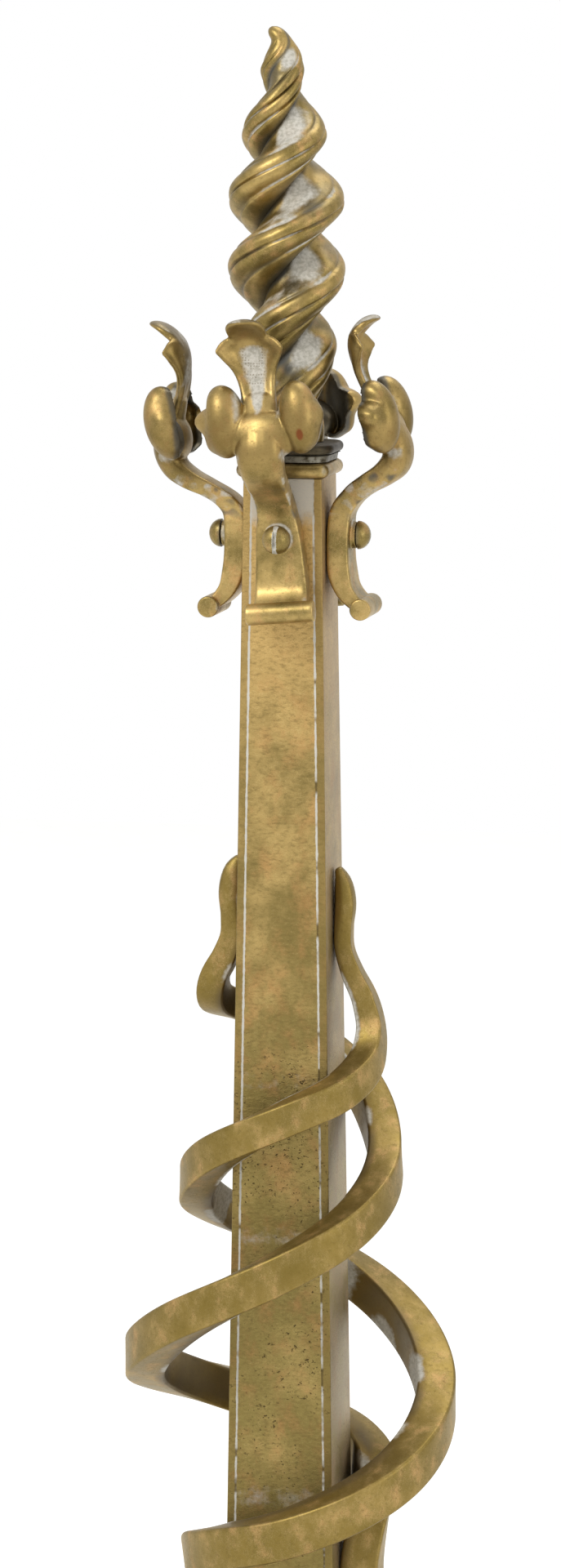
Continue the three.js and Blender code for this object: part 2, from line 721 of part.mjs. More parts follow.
for (const side of sides) {
  const face = new THREE.Group();
  face.rotation.z = THREE.MathUtils.degToRad(side.turn);
  add(face, `column_plate_${side.name}`, columnPlate(side), brassPlate);

  const twisted = new THREE.Group();
  twisted.position.z = screwHeight;
  twisted.rotation.x = THREE.MathUtils.degToRad(side.twist);
  const fitting = new THREE.Group();
  fitting.position.z = -screwHeight;
  add(fitting, `bracket_${side.name}`, bracket(side), brassCast);
  add(fitting, `bracket_roll_${side.name}`, bracketRoll(), brassCast);
  add(fitting, `bracket_screw_${side.name}`, bracketScrew(), brass);
  twisted.add(fitting);
  face.add(twisted);
  upright.add(face);
}

const beadWidth = 2 * (columnHalf(columnTop) + beadReach);
const rodHoleThroughCap = roundBar(rodRadius + clearance, columnTop - 1, finialFoot + 1);
const bead = cushionBlock(beadWidth, beadWidth, beadCorner, beadBottom, beadHeight, beadEdge);
const capPlate = cushionBlock(
  capPlateWidth,
  capPlateWidth,
  capCornerRadius,
  capPlateBottom,
  capPlateHeight,
  capPlateEdge,
);
add(upright, 'cap_bead', cut(bead, rodHoleThroughCap), brassCast);
add(upright, 'cap_plate', cut(capPlate, rodHoleThroughCap), brassCast);
add(upright, 'finial_flame', finial(), brassCast);

add(upright, 'tendril_right', tendril(rightTendrilNodes, Math.PI), brass);
add(upright, 'tendril_left', tendril(leftTendrilNodes, 0), brass);
add(upright, 'tendril_screw_right', tendrilScrew(), brass);
add(upright, 'tendril_screw_left', tendrilScrew(), brass).rotation.z = Math.PI;

const rodTop = finialFoot + finialSocketDepth - clearance;
const rodBottom = nutTop - nutHeight - rodEnd;
add(upright, 'tie_rod', roundBar(rodRadius, rodBottom, rodTop, 16), iron);
add(upright, 'rod_washer', pierced(washerRadius, washerTop - washerThickness, washerTop, 24), steel);
add(upright, 'rod_nut', pierced(nutRadius, nutTop - nutHeight, nutTop, 6), steel);

add(upright, 'base_collar', baseCollar(), brassCast);
add(upright, 'base_block', baseBlock(), brassCast);

for (const [name, turn] of [['right', 0], ['left', Math.PI]]) {
  const legSide = new THREE.Group();
  legSide.rotation.z = turn;
  add(legSide, `leg_${name}`, frontLeg(), brass);
  add(legSide, `leg_bolt_${name}`, legBolt(), brass);
  add(legSide, `foot_pad_${name}`, footPad(footPadRadius), brass).position.x = footPadReach;
  upright.add(legSide);
}

add(upright, 'billet_bar', billetBar(), iron);
add(upright, 'billet_bolt', billetBolt(), steel);
add(upright, 'rear_leg', rearLeg(), iron);
add(upright, 'rear_leg_rivet', rearLegRivet(), iron);
add(upright, 'rear_foot_pad', footPad(rearPadRadius), iron).position.y = rearLegPlace;
add(upright, 'log_stop', logStop(), iron);

// the origin is on the floor, at the middle of the whole andiron's box
const whole = new THREE.Box3().setFromObject(upright, true);
upright.position.y = -(whole.min.y + whole.max.y) / 2;
upright.position.x = -(whole.min.x + whole.max.x) / 2;

const andiron = new THREE.Group();
andiron.add(upright);

export default andiron;
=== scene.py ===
import math

import bpy
import numpy as np
from mathutils import Matrix, Vector, noise


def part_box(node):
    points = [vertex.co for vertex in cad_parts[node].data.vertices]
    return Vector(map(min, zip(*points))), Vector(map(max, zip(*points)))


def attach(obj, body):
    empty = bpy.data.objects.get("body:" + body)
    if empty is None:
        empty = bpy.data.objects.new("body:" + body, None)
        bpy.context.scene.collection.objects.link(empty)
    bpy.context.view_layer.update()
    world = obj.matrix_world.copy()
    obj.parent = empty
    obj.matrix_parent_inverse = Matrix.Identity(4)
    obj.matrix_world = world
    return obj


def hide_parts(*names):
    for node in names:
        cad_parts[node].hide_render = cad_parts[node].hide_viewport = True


# A brass andiron: tapered box column, twisted flame finial, four leaf brackets, two wound
# tendrils, and below them a collar, a block, curved front legs and an iron billet bar.
# Sizes are in millimetres, from the column's axis and the floor; every mesh is moved to the
# frame's metres once, when its shape is ready.

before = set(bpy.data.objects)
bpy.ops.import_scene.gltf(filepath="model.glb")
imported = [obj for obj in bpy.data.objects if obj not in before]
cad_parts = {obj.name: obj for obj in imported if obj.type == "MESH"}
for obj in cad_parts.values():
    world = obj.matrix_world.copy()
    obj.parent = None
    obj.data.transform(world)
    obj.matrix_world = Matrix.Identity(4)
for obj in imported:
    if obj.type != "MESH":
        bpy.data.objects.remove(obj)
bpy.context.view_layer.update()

MM = 0.001


def box_in_frame(node):
    return np.array([list(corner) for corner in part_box(node)]) / MM


AXIS = box_in_frame("tie_rod").mean(axis=0) * [1, 1, 0]


def node_box(node):
    """A node's low and high corners."""
    return box_in_frame(node) - AXIS


def middle(node):
    return node_box(node).mean(axis=0)


# ---- Places read from the frame ----

COLUMN_FOOT, COLUMN_TOP = node_box("column_plate_front")[:, 2]
SCREW_HEIGHT = middle("bracket_screw_right")[2]
TENDRIL_SCREW_HEIGHT = middle("tendril_screw_right")[2]
BEAD_LOW, BEAD_HIGH = node_box("cap_bead")
FINIAL_FOOT = node_box("finial_flame")[0][2]
BLOCK_LOW, BLOCK_HIGH = node_box("base_block")
BAR_LOW, BAR_HIGH = node_box("billet_bar")
REAR_PLACE = middle("rear_leg")[1]
STOP_PLACE = middle("log_stop")[1]
PAD_TOP = node_box("foot_pad_right")[1][2]

# ---- Sizes that the frame doesn't give ----

GAP = 0.3
COLUMN_TOP_WIDTH = 28.8
COLUMN_TAPER = 0.0281
PLATE = 3.0
STRAP_THICKNESS = 8.2
TENDRIL_THICKNESS = 14.4
TENDRIL_WIDTH = 15.6
LEG_THICKNESS = 13.0
THROUGH = 5                       # how far a hole's cutter stands out of the piece
# how far two joined parts of one piece run into each other
OVERLAP = 0.5
STEM_OVERLAP = 0.6
PIN_OVERLAP = 1.0


def column_half(z):
    return (COLUMN_TOP_WIDTH + (COLUMN_TOP - z) * COLUMN_TAPER) / 2


STRAP_MIDDLE = column_half(SCREW_HEIGHT) + GAP + STRAP_THICKNESS / 2

# how each bracket's side is turned, and how its casting was bent by hand
SIDES = {
    "right": {"turn": 0, "lean": -0.15, "drop": 0.4, "aside": 0, "twist": 0},
    "back": {"turn": 90, "lean": 0, "drop": 0, "aside": 4, "twist": -5},
    "left": {"turn": 180, "lean": 0.15, "drop": 3.4, "aside": 0, "twist": 0},
    "front": {"turn": -90, "lean": 0, "drop": 0, "aside": -3, "twist": 4.5},
}


LEFT_AND_RIGHT = {"right": 0, "left": 180}


# ---- Small helpers for shapes ----

def smoothstep(value, start, end):
    share = np.clip((value - start) / (end - start), 0, 1)
    return share * share * (3 - 2 * share)


def between(value, start, full, last, end):
    """Rises from start to full, and falls again from last to end."""
    return smoothstep(value, start, full) * smoothstep(value, end, last)


def bump_at(value, centre, width):
    return np.exp(-((value - centre) / width) ** 2)


def wobble(points, scale, seed):
    """Smooth noise at each point, about -1 to 1."""
    shift = Vector((seed * 7.3, seed * 3.1, seed * 5.7))
    return np.array([noise.noise(Vector(p) * scale + shift) for p in points])


def patchy(points, scale, seed):
    """Smooth noise at each point, about 0 to 1."""
    return wobble(points, scale, seed) * 0.5 + 0.5


LINE_SAMPLES = 2400


def through(nodes, samples=LINE_SAMPLES):
    """A smooth line through the nodes, and how far each sample lies along it."""
    nodes = np.array(nodes, dtype=float)
    gaps = np.sqrt(np.linalg.norm(np.diff(nodes[:, :3], axis=0), axis=1))
    knots = np.concatenate([[0], np.cumsum(gaps)])
    slopes = np.gradient(nodes, knots, axis=0)
    spots = np.linspace(0, knots[-1], samples)
    index = np.clip(np.searchsorted(knots, spots, side="right") - 1, 0, len(knots) - 2)
    width = (knots[index + 1] - knots[index])[:, None]
    share = (spots[:, None] - knots[index][:, None]) / width
    square, cube = share ** 2, share ** 3
    line = ((2 * cube - 3 * square + 1) * nodes[index]
            + (cube - 2 * square + share) * width * slopes[index]
            + (3 * square - 2 * cube) * nodes[index + 1]
            + (cube - square) * width * slopes[index + 1])
    run = np.concatenate([[0], np.cumsum(np.linalg.norm(np.diff(line[:, :3], axis=0), axis=1))])
    return line, run


def at(line, run, stations):
    return np.stack([np.interp(stations, run, line[:, k]) for k in range(line.shape[1])], axis=1)


def unit(vectors):
    return vectors / np.linalg.norm(vectors, axis=-1, keepdims=True)


TANGENT_STEP = 0.3                 # a line's direction is taken over this much of it on either side
QUARTER_FLATS = 2
QUARTER_ARCS = 4
QUARTER_TURN = np.array([[0, 1], [-1, 0]])
END_RINGS = 5


def square_section(corner):
    """A rounded square of half-width 1 and the circle round it, point for point."""
    steps = [(1 - corner) * i / QUARTER_FLATS for i in range(QUARTER_FLATS)]
    angles = np.linspace(0, math.pi / 2, QUARTER_ARCS + 1)
    arc = 1 - corner + corner * np.column_stack([np.cos(angles), np.sin(angles)])
    quarter = np.array([*[(1, step) for step in steps], *arc, *[(step, 1) for step in steps[:0:-1]]])
    square = np.concatenate([quarter @ np.linalg.matrix_power(QUARTER_TURN, turn) for turn in range(4)])
    return square, unit(square)


def stations(length, count, start_round, end_round):
    """Places of the rings along a bar, and how far each is drawn in to round the ends."""
    angles = np.pi / 2 * np.arange(END_RINGS) / END_RINGS
    hidden, drawn_in = 1 - np.cos(angles), 1 - np.sin(angles)
    straight = start_round + (length - start_round - end_round) * np.arange(count + 1) / count
    place = np.concatenate([start_round * hidden, straight, length - end_round * hidden[::-1]])
    inset = np.concatenate([start_round * drawn_in, 0 * straight, end_round * drawn_in[::-1]])
    return place, inset


# ---- Modelling by operators ----

def deselect():
    if bpy.context.object and bpy.context.object.mode != "OBJECT":
        bpy.ops.object.mode_set(mode="OBJECT")
    bpy.ops.object.select_all(action="DESELECT")


def take(piece):
    deselect()
    piece.select_set(True)
    bpy.context.view_layer.objects.active = piece
    return piece


def edit(kind="VERT"):
    bpy.ops.object.mode_set(mode="EDIT")
    bpy.ops.mesh.select_mode(type=kind)


def done():
    bpy.ops.object.mode_set(mode="OBJECT")


def named(name):
    piece = bpy.context.object
    piece.name = name
    piece.data.name = name
    return piece


def points_of(piece):
    flat = np.empty(len(piece.data.vertices) * 3)
    piece.data.vertices.foreach_get("co", flat)
    return flat.reshape(-1, 3)


def move_points(piece, points):
    piece.data.vertices.foreach_set("co", np.asarray(points, dtype=float).ravel())
    piece.data.update()


def face_outwards(piece):
    bpy.ops.mesh.select_all(action="SELECT")
    bpy.ops.mesh.normals_make_consistent(inside=False)
    done()
    return piece


def shifted(piece, x=0.0, y=0.0, z=0.0):
    move_points(piece, points_of(piece) + np.array([x, y, z]))
    return piece


def roll_up(name, places):
    """Rolls a flat grid up into a tube whose rings lie at places[ring][point], and closes its ends."""
    rings, around = places.shape[0], places.shape[1]
    deselect()
    bpy.ops.mesh.primitive_grid_add(x_subdivisions=around, y_subdivisions=rings - 1, size=2)
    piece = named(name)
    flat = points_of(piece)
    column = np.rint((flat[:, 0] + 1) / 2 * around).astype(int) % around
    row = np.rint((flat[:, 1] + 1) / 2 * (rings - 1)).astype(int)
    move_points(piece, places[row, column])
    edit()
    bpy.ops.mesh.select_all(action="SELECT")
    bpy.ops.mesh.remove_doubles(threshold=1e-4)
    bpy.ops.mesh.select_all(action="DESELECT")
    bpy.ops.mesh.select_non_manifold()
    bpy.ops.mesh.fill_holes(sides=0)
    return face_outwards(piece)


def block(name, low, high):
    deselect()
    bpy.ops.mesh.primitive_cube_add(size=1)
    piece = named(name)
    low, high = np.array(low, dtype=float), np.array(high, dtype=float)
    move_points(piece, (low + high) / 2 + points_of(piece) * (high - low))
    return piece


def rod(name, radius, start, end, sides=48):
    """A round bar between two points."""
    start, end = Vector(start), Vector(end)
    deselect()
    bpy.ops.mesh.primitive_cylinder_add(vertices=sides, radius=radius, depth=(end - start).length)
    piece = named(name)
    turn = (end - start).to_track_quat("Z", "Y").to_matrix()
    move_points(piece, points_of(piece) @ np.array(turn).T + np.array((start + end) / 2))
    return piece


def select_edges(piece, wanted):
    """Selects the edges that wanted(a, b) picks by their two ends."""
    take(piece)
    edit("EDGE")
    bpy.ops.mesh.select_all(action="DESELECT")
    done()
    place = points_of(piece)
    for edge in piece.data.edges:
        a, b = (place[i] for i in edge.vertices)
        edge.select = bool(wanted(a, b))
    edit("EDGE")


def edges_at(axis, value):
    """Picks the edges that lie at a value along an axis."""
    return lambda a, b: max(abs(a[axis] - value), abs(b[axis] - value)) < 0.1


def split_along(piece, axis, cuts):
    """Cuts the long edges along an axis into even steps."""
    select_edges(piece, lambda a, b: abs(a[axis] - b[axis]) > 5)
    bpy.ops.mesh.subdivide(number_cuts=cuts)
    done()


def bevel_edges(piece, wanted, width, segments=3):
    select_edges(piece, wanted)
    bpy.ops.mesh.bevel(offset=width, segments=segments, affect="EDGES")
    done()
    return piece


def modified(piece, kind, **settings):
    """Adds a modifier, sets it and applies it."""
    take(piece)
    change = piece.modifiers.new(kind.lower(), kind)
    for key, value in settings.items():
        setattr(change, key, value)
    bpy.ops.object.modifier_apply(modifier=change.name)
    return piece


def bevel_all(piece, width, segments=2, angle=40):
    sharp = math.radians(angle)
    return modified(piece, "BEVEL", width=width, segments=segments, limit_method="ANGLE", angle_limit=sharp)


def cut_away(piece, cutter):
    modified(piece, "BOOLEAN", operation="DIFFERENCE", solver="EXACT", object=cutter)
    bpy.data.objects.remove(cutter)
    return piece


def drill(piece, radius, start, end, sides=48):
    return cut_away(piece, rod("hole", radius, start, end, sides))


def drill_down(piece, radius, y, low, high):
    """An upright hole on the middle plane, right through from low to high."""
    return drill(piece, radius, (0, y, low - THROUGH), (0, y, high + THROUGH))


def join(name, pieces):
    deselect()
    for piece in pieces:
        piece.select_set(True)
    bpy.context.view_layer.objects.active = pieces[0]
    bpy.ops.object.join()
    return named(name)


def copy_of(piece, name):
    twin = piece.copy()
    twin.data = piece.data.copy()
    twin.name = name
    twin.data.name = name
    bpy.context.collection.objects.link(twin)
    return twin


def mask(piece, name, values):
    """Stores a number from 0 to 1 on each vertex for the material."""
    layer = piece.data.attributes.get(name) or piece.data.attributes.new(name, "FLOAT", "POINT")
    layer.data.foreach_set("value", np.clip(values, 0, 1).astype(np.float32))


def turned(points, degrees):
    angle = math.radians(degrees)
    c, s = math.cos(angle), math.sin(angle)
    return points @ np.array([[c, s, 0], [-s, c, 0], [0, 0, 1]])


def hand_in(piece, material, node, angle=35, turn=0):
    """Turns a finished shape about the column's axis, moves it to the frame, smooths it, gives it its
    material, attaches it to the root body and hides the node it replaces.
    """
    move_points(piece, (turned(points_of(piece), turn) + AXIS) * MM)
    take(piece)
    bpy.ops.object.shade_smooth_by_angle(angle=math.radians(angle))
    piece.data.materials.clear()
    piece.data.materials.append(material)
    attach(piece, "root")
    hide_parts(node)


def hand_in_copies(masters, turns, change=None):
    """Hands in a copy for each side of each [master, label, node, material, slot, smooth angle]; the slot
    is not used.
    """
    for side, turn in turns.items():
        for master, label, node, material, slot, angle in masters:
            piece = copy_of(master, f"{label}_{side}")
            if change:
                change(piece, side)
            hand_in(piece, material, f"{node}_{side}", angle, turn)
    for master, *_ in masters:
        bpy.data.objects.remove(master)


# ---- Shader maths ----

class Wire:
    """A shader socket that takes part in sums."""

    def __init__(self, tree, socket):
        self.tree = tree
        self.socket = socket

    def make(self, kind, settings=None, inputs=None, output=0):
        """Adds any node: its settings first, then the values or links of its sockets."""
        return add_node(self.tree, kind, settings, inputs, output)

    def maths(self, operation, *others):
        inputs = {i: value for i, value in enumerate(others)}
        return self.make("ShaderNodeMath", {"operation": operation}, inputs)

    def __add__(self, other):
        return self.maths("ADD", self, other)

    __radd__ = __add__

    def __mul__(self, other):
        return self.maths("MULTIPLY", self, other)

    __rmul__ = __mul__

    def __sub__(self, other):
        return self.maths("SUBTRACT", self, other)

    def __rsub__(self, other):
        return self.maths("SUBTRACT", other, self)

    def __truediv__(self, other):
        return self.maths("DIVIDE", self, other)

    def larger(self, other):
        return self.maths("MAXIMUM", self, other)

    def smaller(self, other):
        return self.maths("MINIMUM", self, other)

    def size(self):
        return self.maths("ABSOLUTE", self)

    def ramp(self, start, end):
        """0 below start, 1 above end, smooth between them; start may be the larger."""
        settings = {"interpolation_type": "SMOOTHSTEP"}
        inputs = {"Value": self, "From Min": min(start, end), "From Max": max(start, end)}
        if start > end:
            inputs.update({"To Min": 1.0, "To Max": 0.0})
        return self.make("ShaderNodeMapRange", settings, inputs)


def add_node(tree, kind, settings=None, inputs=None, output=0):
    node = tree.nodes.new(kind)
    for key, value in (settings or {}).items():
        if key == "stops":
            fill_ramp(node.color_ramp, value)
        else:
            setattr(node, key, value)
    for key, value in (inputs or {}).items():
        if isinstance(value, Wire):
            tree.links.new(value.socket, node.inputs[key])
        else:
            node.inputs[key].default_value = value
    return Wire(tree, node.outputs[output]) if node.outputs else None


def fill_ramp(ramp, stops):
    while len(ramp.elements) < len(stops):
        ramp.elements.new(0.5)
    for element, (place, value) in zip(ramp.elements, stops):
        element.position = place
        element.color = (value, value, value, 1)


def linear(red, green, blue):
    """A colour written as a screen colour, 0 to 255."""
    parts = []
    for value in (red, green, blue):
        value = value / 255
        parts.append(value / 12.92 if value <= 0.04045 else ((value + 0.055) / 1.055) ** 2.4)
    return (*parts, 1.0)


MIX_A, MIX_B, MIX_COLOUR = 6, 7, 2


def blend_colour(tree, share, first, second):
    inputs = {0: share, MIX_A: first, MIX_B: second}
    return add_node(tree, "ShaderNodeMix", {"data_type": "RGBA"}, inputs, MIX_COLOUR)


def layered(tree, colour, *layers):
    """Lays colours over the first one in turn; each layer is [how much of it shows, its colour]."""
    for share, over in layers:
        colour = blend_colour(tree, share, colour, over)
    return colour


def new_material(name):
    material = bpy.data.materials.new(name)
    material.use_nodes = True
    material.node_tree.nodes.clear()
    return material


def object_place(tree, stretch=(1, 1, 1), shift=(0, 0, 0)):
    """Object coordinates in millimetres, stretched along each axis."""
    place = add_node(tree, "ShaderNodeTexCoord", output="Object")
    inputs = {"Vector": place, "Location": shift, "Scale": tuple(s / MM for s in stretch)}
    return add_node(tree, "ShaderNodeMapping", None, inputs)


def grain(tree, place, scale, detail=3.0, roughness=0.55):
    inputs = {"Vector": place, "Scale": scale, "Detail": detail, "Roughness": roughness}
    return add_node(tree, "ShaderNodeTexNoise", {"noise_dimensions": "3D"}, inputs)


def stored(tree, name):
    return add_node(tree, "ShaderNodeAttribute", {"attribute_name": name}, output="Fac")


def surface(tree, colour, metallic, roughness, height, strength, distance):
    bump = add_node(tree, "ShaderNodeBump", None,
                    {"Height": height, "Strength": strength, "Distance": distance * MM})
    shader = add_node(tree, "ShaderNodeBsdfPrincipled", None, {
        "Base Color": colour, "Metallic": metallic, "Roughness": roughness, "Normal": bump})
    add_node(tree, "ShaderNodeOutputMaterial", None, {"Surface": shader})


# ---- Brass and iron ----

OLIVE = linear(122, 105, 58)
GOLD = linear(174, 148, 92)
ORANGE = linear(184, 136, 86)
UMBER = linear(74, 60, 34)
DEEP = linear(118, 98, 40)
BRIGHT = linear(206, 182, 128)
PALE_GOLD = linear(196, 162, 102)
MOSSY = linear(138, 124, 70)
BROWNED = linear(108, 88, 46)
BRUSHED = linear(104, 88, 50)
DULLED = linear(112, 92, 52)
EDGE_BROWN = linear(116, 98, 54)
SEAM_DIRT = linear(84, 70, 42)
RUSTY_SPOT = linear(112, 64, 34)
# colour of a painted reflection on the column's side faces
REFLECTED_LILAC = linear(152, 135, 112)
CHALK = linear(202, 199, 190)
DULL_CHALK = linear(150, 147, 134)
PUNCHED = linear(126, 117, 98)
# grey laid over painted shade and grime
SHADE_AND_GRIME_GREY = linear(80, 79, 73)
WORN_IRON = linear(74, 70, 66)
RUST = linear(112, 70, 44)
BLACK_SCALE = linear(24, 22, 21)


def chalk_share(tree, amount, clouds):
    """Soft milky patches of dried polish, heavier where the stored mask is high."""
    crumb = grain(tree, object_place(tree, (1, 1, 1), (5, 2, 9)), 0.35, 4.0, 0.6)
    return (amount * 1.35 + crumb * 0.8 + clouds * 0.4 - 0.95).ramp(0.0, 0.7) * amount.ramp(0.02, 0.25)


def punched_dots(tree):
    """Rows of small punched dots."""
    settings = {"feature": "F1", "distance": "EUCLIDEAN"}
    inputs = {"Vector": object_place(tree), "Scale": 1.0, "Randomness": 0.25}
    return add_node(tree, "ShaderNodeTexVoronoi", settings, inputs).ramp(0.36, 0.2)


def brass(name, olive, warm, polish, grain_height, pits=0.0, spread=0.13, deep=0.0, stippled=False):
    """Aged brass: patches of olive, gold and orange, dark pits, chalky polish left in hollows, and grey
    painted shade and grime where the dark mask lies.
    """
    material = new_material(name)
    tree = material.node_tree
    place = object_place(tree)
    patches = grain(tree, place, 0.06, 4.0, 0.6)
    clouds = grain(tree, object_place(tree, (1, 1, 0.7), (31, 17, 5)), 0.15, 5.0, 0.62)
    speckle = grain(tree, object_place(tree, (1, 1, 1.15), (3, 9, 2)), 0.7, 4.0, 0.6)
    fine = grain(tree, place, 3.0, 3.0, 0.6)
    pit_field = grain(tree, object_place(tree, (1, 1, 1.3), (8, 2, 6)), 0.75, 2.0, 0.7)
    pit_zone = grain(tree, place, 0.05, 2.0)
    pitted = pit_field.ramp(0.66, 0.74) * pit_zone.ramp(0.42, 0.58) * pits
    # grey from the stored dark mask: painted shadow under the finial's bands, and darkening at joints, in
    # grooves and in hollows elsewhere
    shade_and_grime = (stored(tree, "dark") * (0.55 + 0.8 * clouds)).smaller(1.0)
    milky = chalk_share(tree, stored(tree, "chalk"), clouds)
    height = fine * 0.5 + speckle * 0.8 - pitted * 2.0
    chalk_tone = blend_colour(tree, speckle.ramp(0.62, 0.36) * 0.6, CHALK, DULL_CHALK)
    if stippled:
        dotted = punched_dots(tree) * stored(tree, "stipple").ramp(0.2, 0.5)
        chalk_tone = blend_colour(tree, dotted * 0.6, chalk_tone, PUNCHED)
        height = height - dotted * 6.0

    colour = layered(
        tree, OLIVE,
        ((patches + (0.5 - olive) * 0.4).ramp(0.51 - spread, 0.51 + spread), GOLD),
        (clouds.ramp(0.5, 0.74) * warm, ORANGE),
        (speckle.ramp(0.48, 0.3) * 0.3, UMBER),
        ((fine + clouds * 0.5).ramp(0.7, 0.95) * 0.3, BRIGHT),
        (clouds.ramp(0.75, 0.35) * deep, DEEP),
        (pitted * 0.85, UMBER),
        (stored(tree, "aged") * (0.35 + clouds).smaller(1.0), BROWNED),
        (stored(tree, "stain"), RUSTY_SPOT),
        (shade_and_grime, SHADE_AND_GRIME_GREY),
        (milky * 0.88, chalk_tone))
    roughness = polish + clouds.ramp(0.35, 0.75) * 0.12 + speckle.ramp(0.5, 0.3) * 0.08 + milky * 0.3
    metallic = 0.9 - milky * 0.75 - shade_and_grime * 0.3
    surface(tree, colour, metallic, roughness, height, 0.6, grain_height)
    return material


SEAM_FROM_EDGE = PLATE + 0.1
PITTED_BELOW = (408, 375)          # the pits come in between these two heights


def plate_brass():
    """The column's sheet brass, with polish and dirt caught along the two seams of each face."""
    material = new_material("sheet_brass")
    tree = material.node_tree
    place = object_place(tree, shift=tuple(-AXIS))
    apart = add_node(tree, "ShaderNodeSeparateXYZ", None, {0: place})
    across, forward, up = (Wire(tree, socket) for socket in apart.socket.node.outputs)
    half = (COLUMN_TOP_WIDTH / 2 + COLUMN_TOP * COLUMN_TAPER / 2) - up * (COLUMN_TAPER / 2)
    on_face = (forward.size() - half + 0.8).ramp(0.0, 0.4)
    left = across.ramp(1, -1)
    patches = grain(tree, place, 0.045, 4.0, 0.6)
    clouds = grain(tree, object_place(tree, (1, 1, 0.8), (31, 17, 5)), 0.11, 5.0, 0.62)
    strokes = grain(tree, object_place(tree, (0.75, 0.75, 1.5), (3, 9, 2)), 0.62, 5.0, 0.64)
    fine = grain(tree, object_place(tree, (1, 1, 1.6)), 2.6, 4.0, 0.62)
    rubbed = (strokes * 0.6 + fine * 0.5).ramp(0.56, 0.8) * (0.25 + up.ramp(440, 540) * 0.2)

    pit_field = grain(tree, object_place(tree, (1, 1, 1.2), (8, 2, 6)), 0.72, 2.0, 0.7)
    pit_zone = grain(tree, place, 0.045, 2.0).ramp(0.4, 0.52) * up.ramp(*PITTED_BELOW)
    pitted = pit_field.ramp(0.62, 0.7) * (pit_zone + 0.06).smaller(1.0)

    strip = (across.size() - half + PLATE).ramp(0.0, 0.3) * on_face
    ragged = grain(tree, object_place(tree, (1, 1, 0.5), (6, 1, 2)), 0.5, 3.0, 0.7)
    from_seam = (across.size() - half + SEAM_FROM_EDGE).size() + (ragged - 0.5) * 0.8
    seam = from_seam.ramp(0.52, 0.2) * on_face
    broken = grain(tree, object_place(tree, (0.3, 0.3, 1.0), (4, 4, 4)), 0.09, 3.0, 0.6)
    white = seam * (broken + left * 0.07 + up.ramp(250, 420) * 0.08).ramp(0.42, 0.56)
    crumbs = white.larger(chalk_share(tree, stored(tree, "chalk"), clouds) * 0.85)

    colour = layered(
        tree, OLIVE,
        ((patches - 0.1 + up.ramp(420, 520) * 0.12).ramp(0.3, 0.62), GOLD),
        (clouds.ramp(0.46, 0.72) * 0.4, ORANGE),
        (up.ramp(490, 560) * 0.7, PALE_GOLD),
        (up.ramp(460, 330) * clouds.ramp(0.75, 0.35) * 0.6, MOSSY),
        (strokes.ramp(0.52, 0.32) * 0.45, BRUSHED),
        (fine.ramp(0.48, 0.34) * 0.4, DULLED),
        (rubbed, BRIGHT),
        (pitted * 0.9, UMBER),
        # painted reflection: a pale lilac-grey sheen over the column's side faces
        ((1.0 - on_face) * clouds.ramp(0.2, 0.6) * 0.55, REFLECTED_LILAC),
        (strip * (0.6 - left * 0.25), EDGE_BROWN),
        ((seam - white).larger(0.0) * 0.8, SEAM_DIRT),
        (crumbs * 0.92, CHALK))
    roughness = 0.44 + clouds.ramp(0.35, 0.75) * 0.1 + crumbs * 0.3
    height = strokes * 1.4 + fine * 0.7 - pitted * 2.0
    surface(tree, colour, 0.86 - crumbs * 0.75, roughness, height, 0.7, 0.16)
    return material


def dark_metal(name, base, rust, rough, bumpiness, metal):
    """Forged or drawn iron, with scale, worn places and a little rust."""
    material = new_material(name)
    tree = material.node_tree
    place = object_place(tree)
    patches = grain(tree, place, 0.09, 4.0)
    scale = grain(tree, object_place(tree, (1, 0.5, 1), (5, 1, 3)), 0.45, 5.0, 0.65)
    fine = grain(tree, place, 2.6, 2.0)
    rusted = scale.ramp(0.56, 0.72) * rust
    colour = layered(
        tree, base,
        (patches.ramp(0.35, 0.7) * 0.6, WORN_IRON),
        (rusted, RUST),
        (scale.ramp(0.42, 0.3) * 0.5, BLACK_SCALE),
        (stored(tree, "chalk") * scale.ramp(0.3, 0.6), DULL_CHALK))
    roughness = rough + patches.ramp(0.3, 0.7) * 0.15
    surface(tree, colour, metal - rusted * 0.4, roughness, scale + fine * 0.3, 0.7, bumpiness)
    return material


SHEET = plate_brass()
CAST = brass("cast_brass", 0.45, 0.65, 0.37, 0.03, stippled=True)
FLAME = brass("flame_brass", 0.62, 0.7, 0.38, 0.04, deep=0.25)
TURNED = brass("turned_brass", 0.55, 0.45, 0.36, 0.03)
WROUGHT = brass("wrought_brass", 0.7, 0.45, 0.42, 0.025, pits=0.25, spread=0.3, deep=0.6)
FOOT = brass("foot_brass", 0.56, 0.4, 0.4, 0.06, pits=0.4, spread=0.26, deep=0.4)
# the cap plate's dark brown is partly its own browned tone and partly painted shade from the brackets round
# it
BROWN_AND_SHADED_CAP = dark_metal("browned_and_shaded_brass", linear(66, 57, 38), 0.2, 0.45, 0.05, 0.8)
IRON = dark_metal("forged_iron", linear(46, 43, 41), 0.5, 0.58, 0.25, 0.75)
ROD_IRON = dark_metal("drawn_iron", linear(78, 74, 70), 0.25, 0.45, 0.05, 0.85)
STEEL = dark_metal("oiled_steel", linear(96, 92, 88), 0.15, 0.38, 0.03, 0.95)


# ---- Column ----

PLATE_CUTS = 130
SEAM_GAP = 0.01                   # the seams are packed with polish and dirt, so no slit shows
# white residue on the front plate: [height, half its height, how much]
RESIDUE = [(COLUMN_TOP - 5, 12, 0.95), (378, 5, 0.34), (320, 5, 0.42), (222, 5, 0.46)]


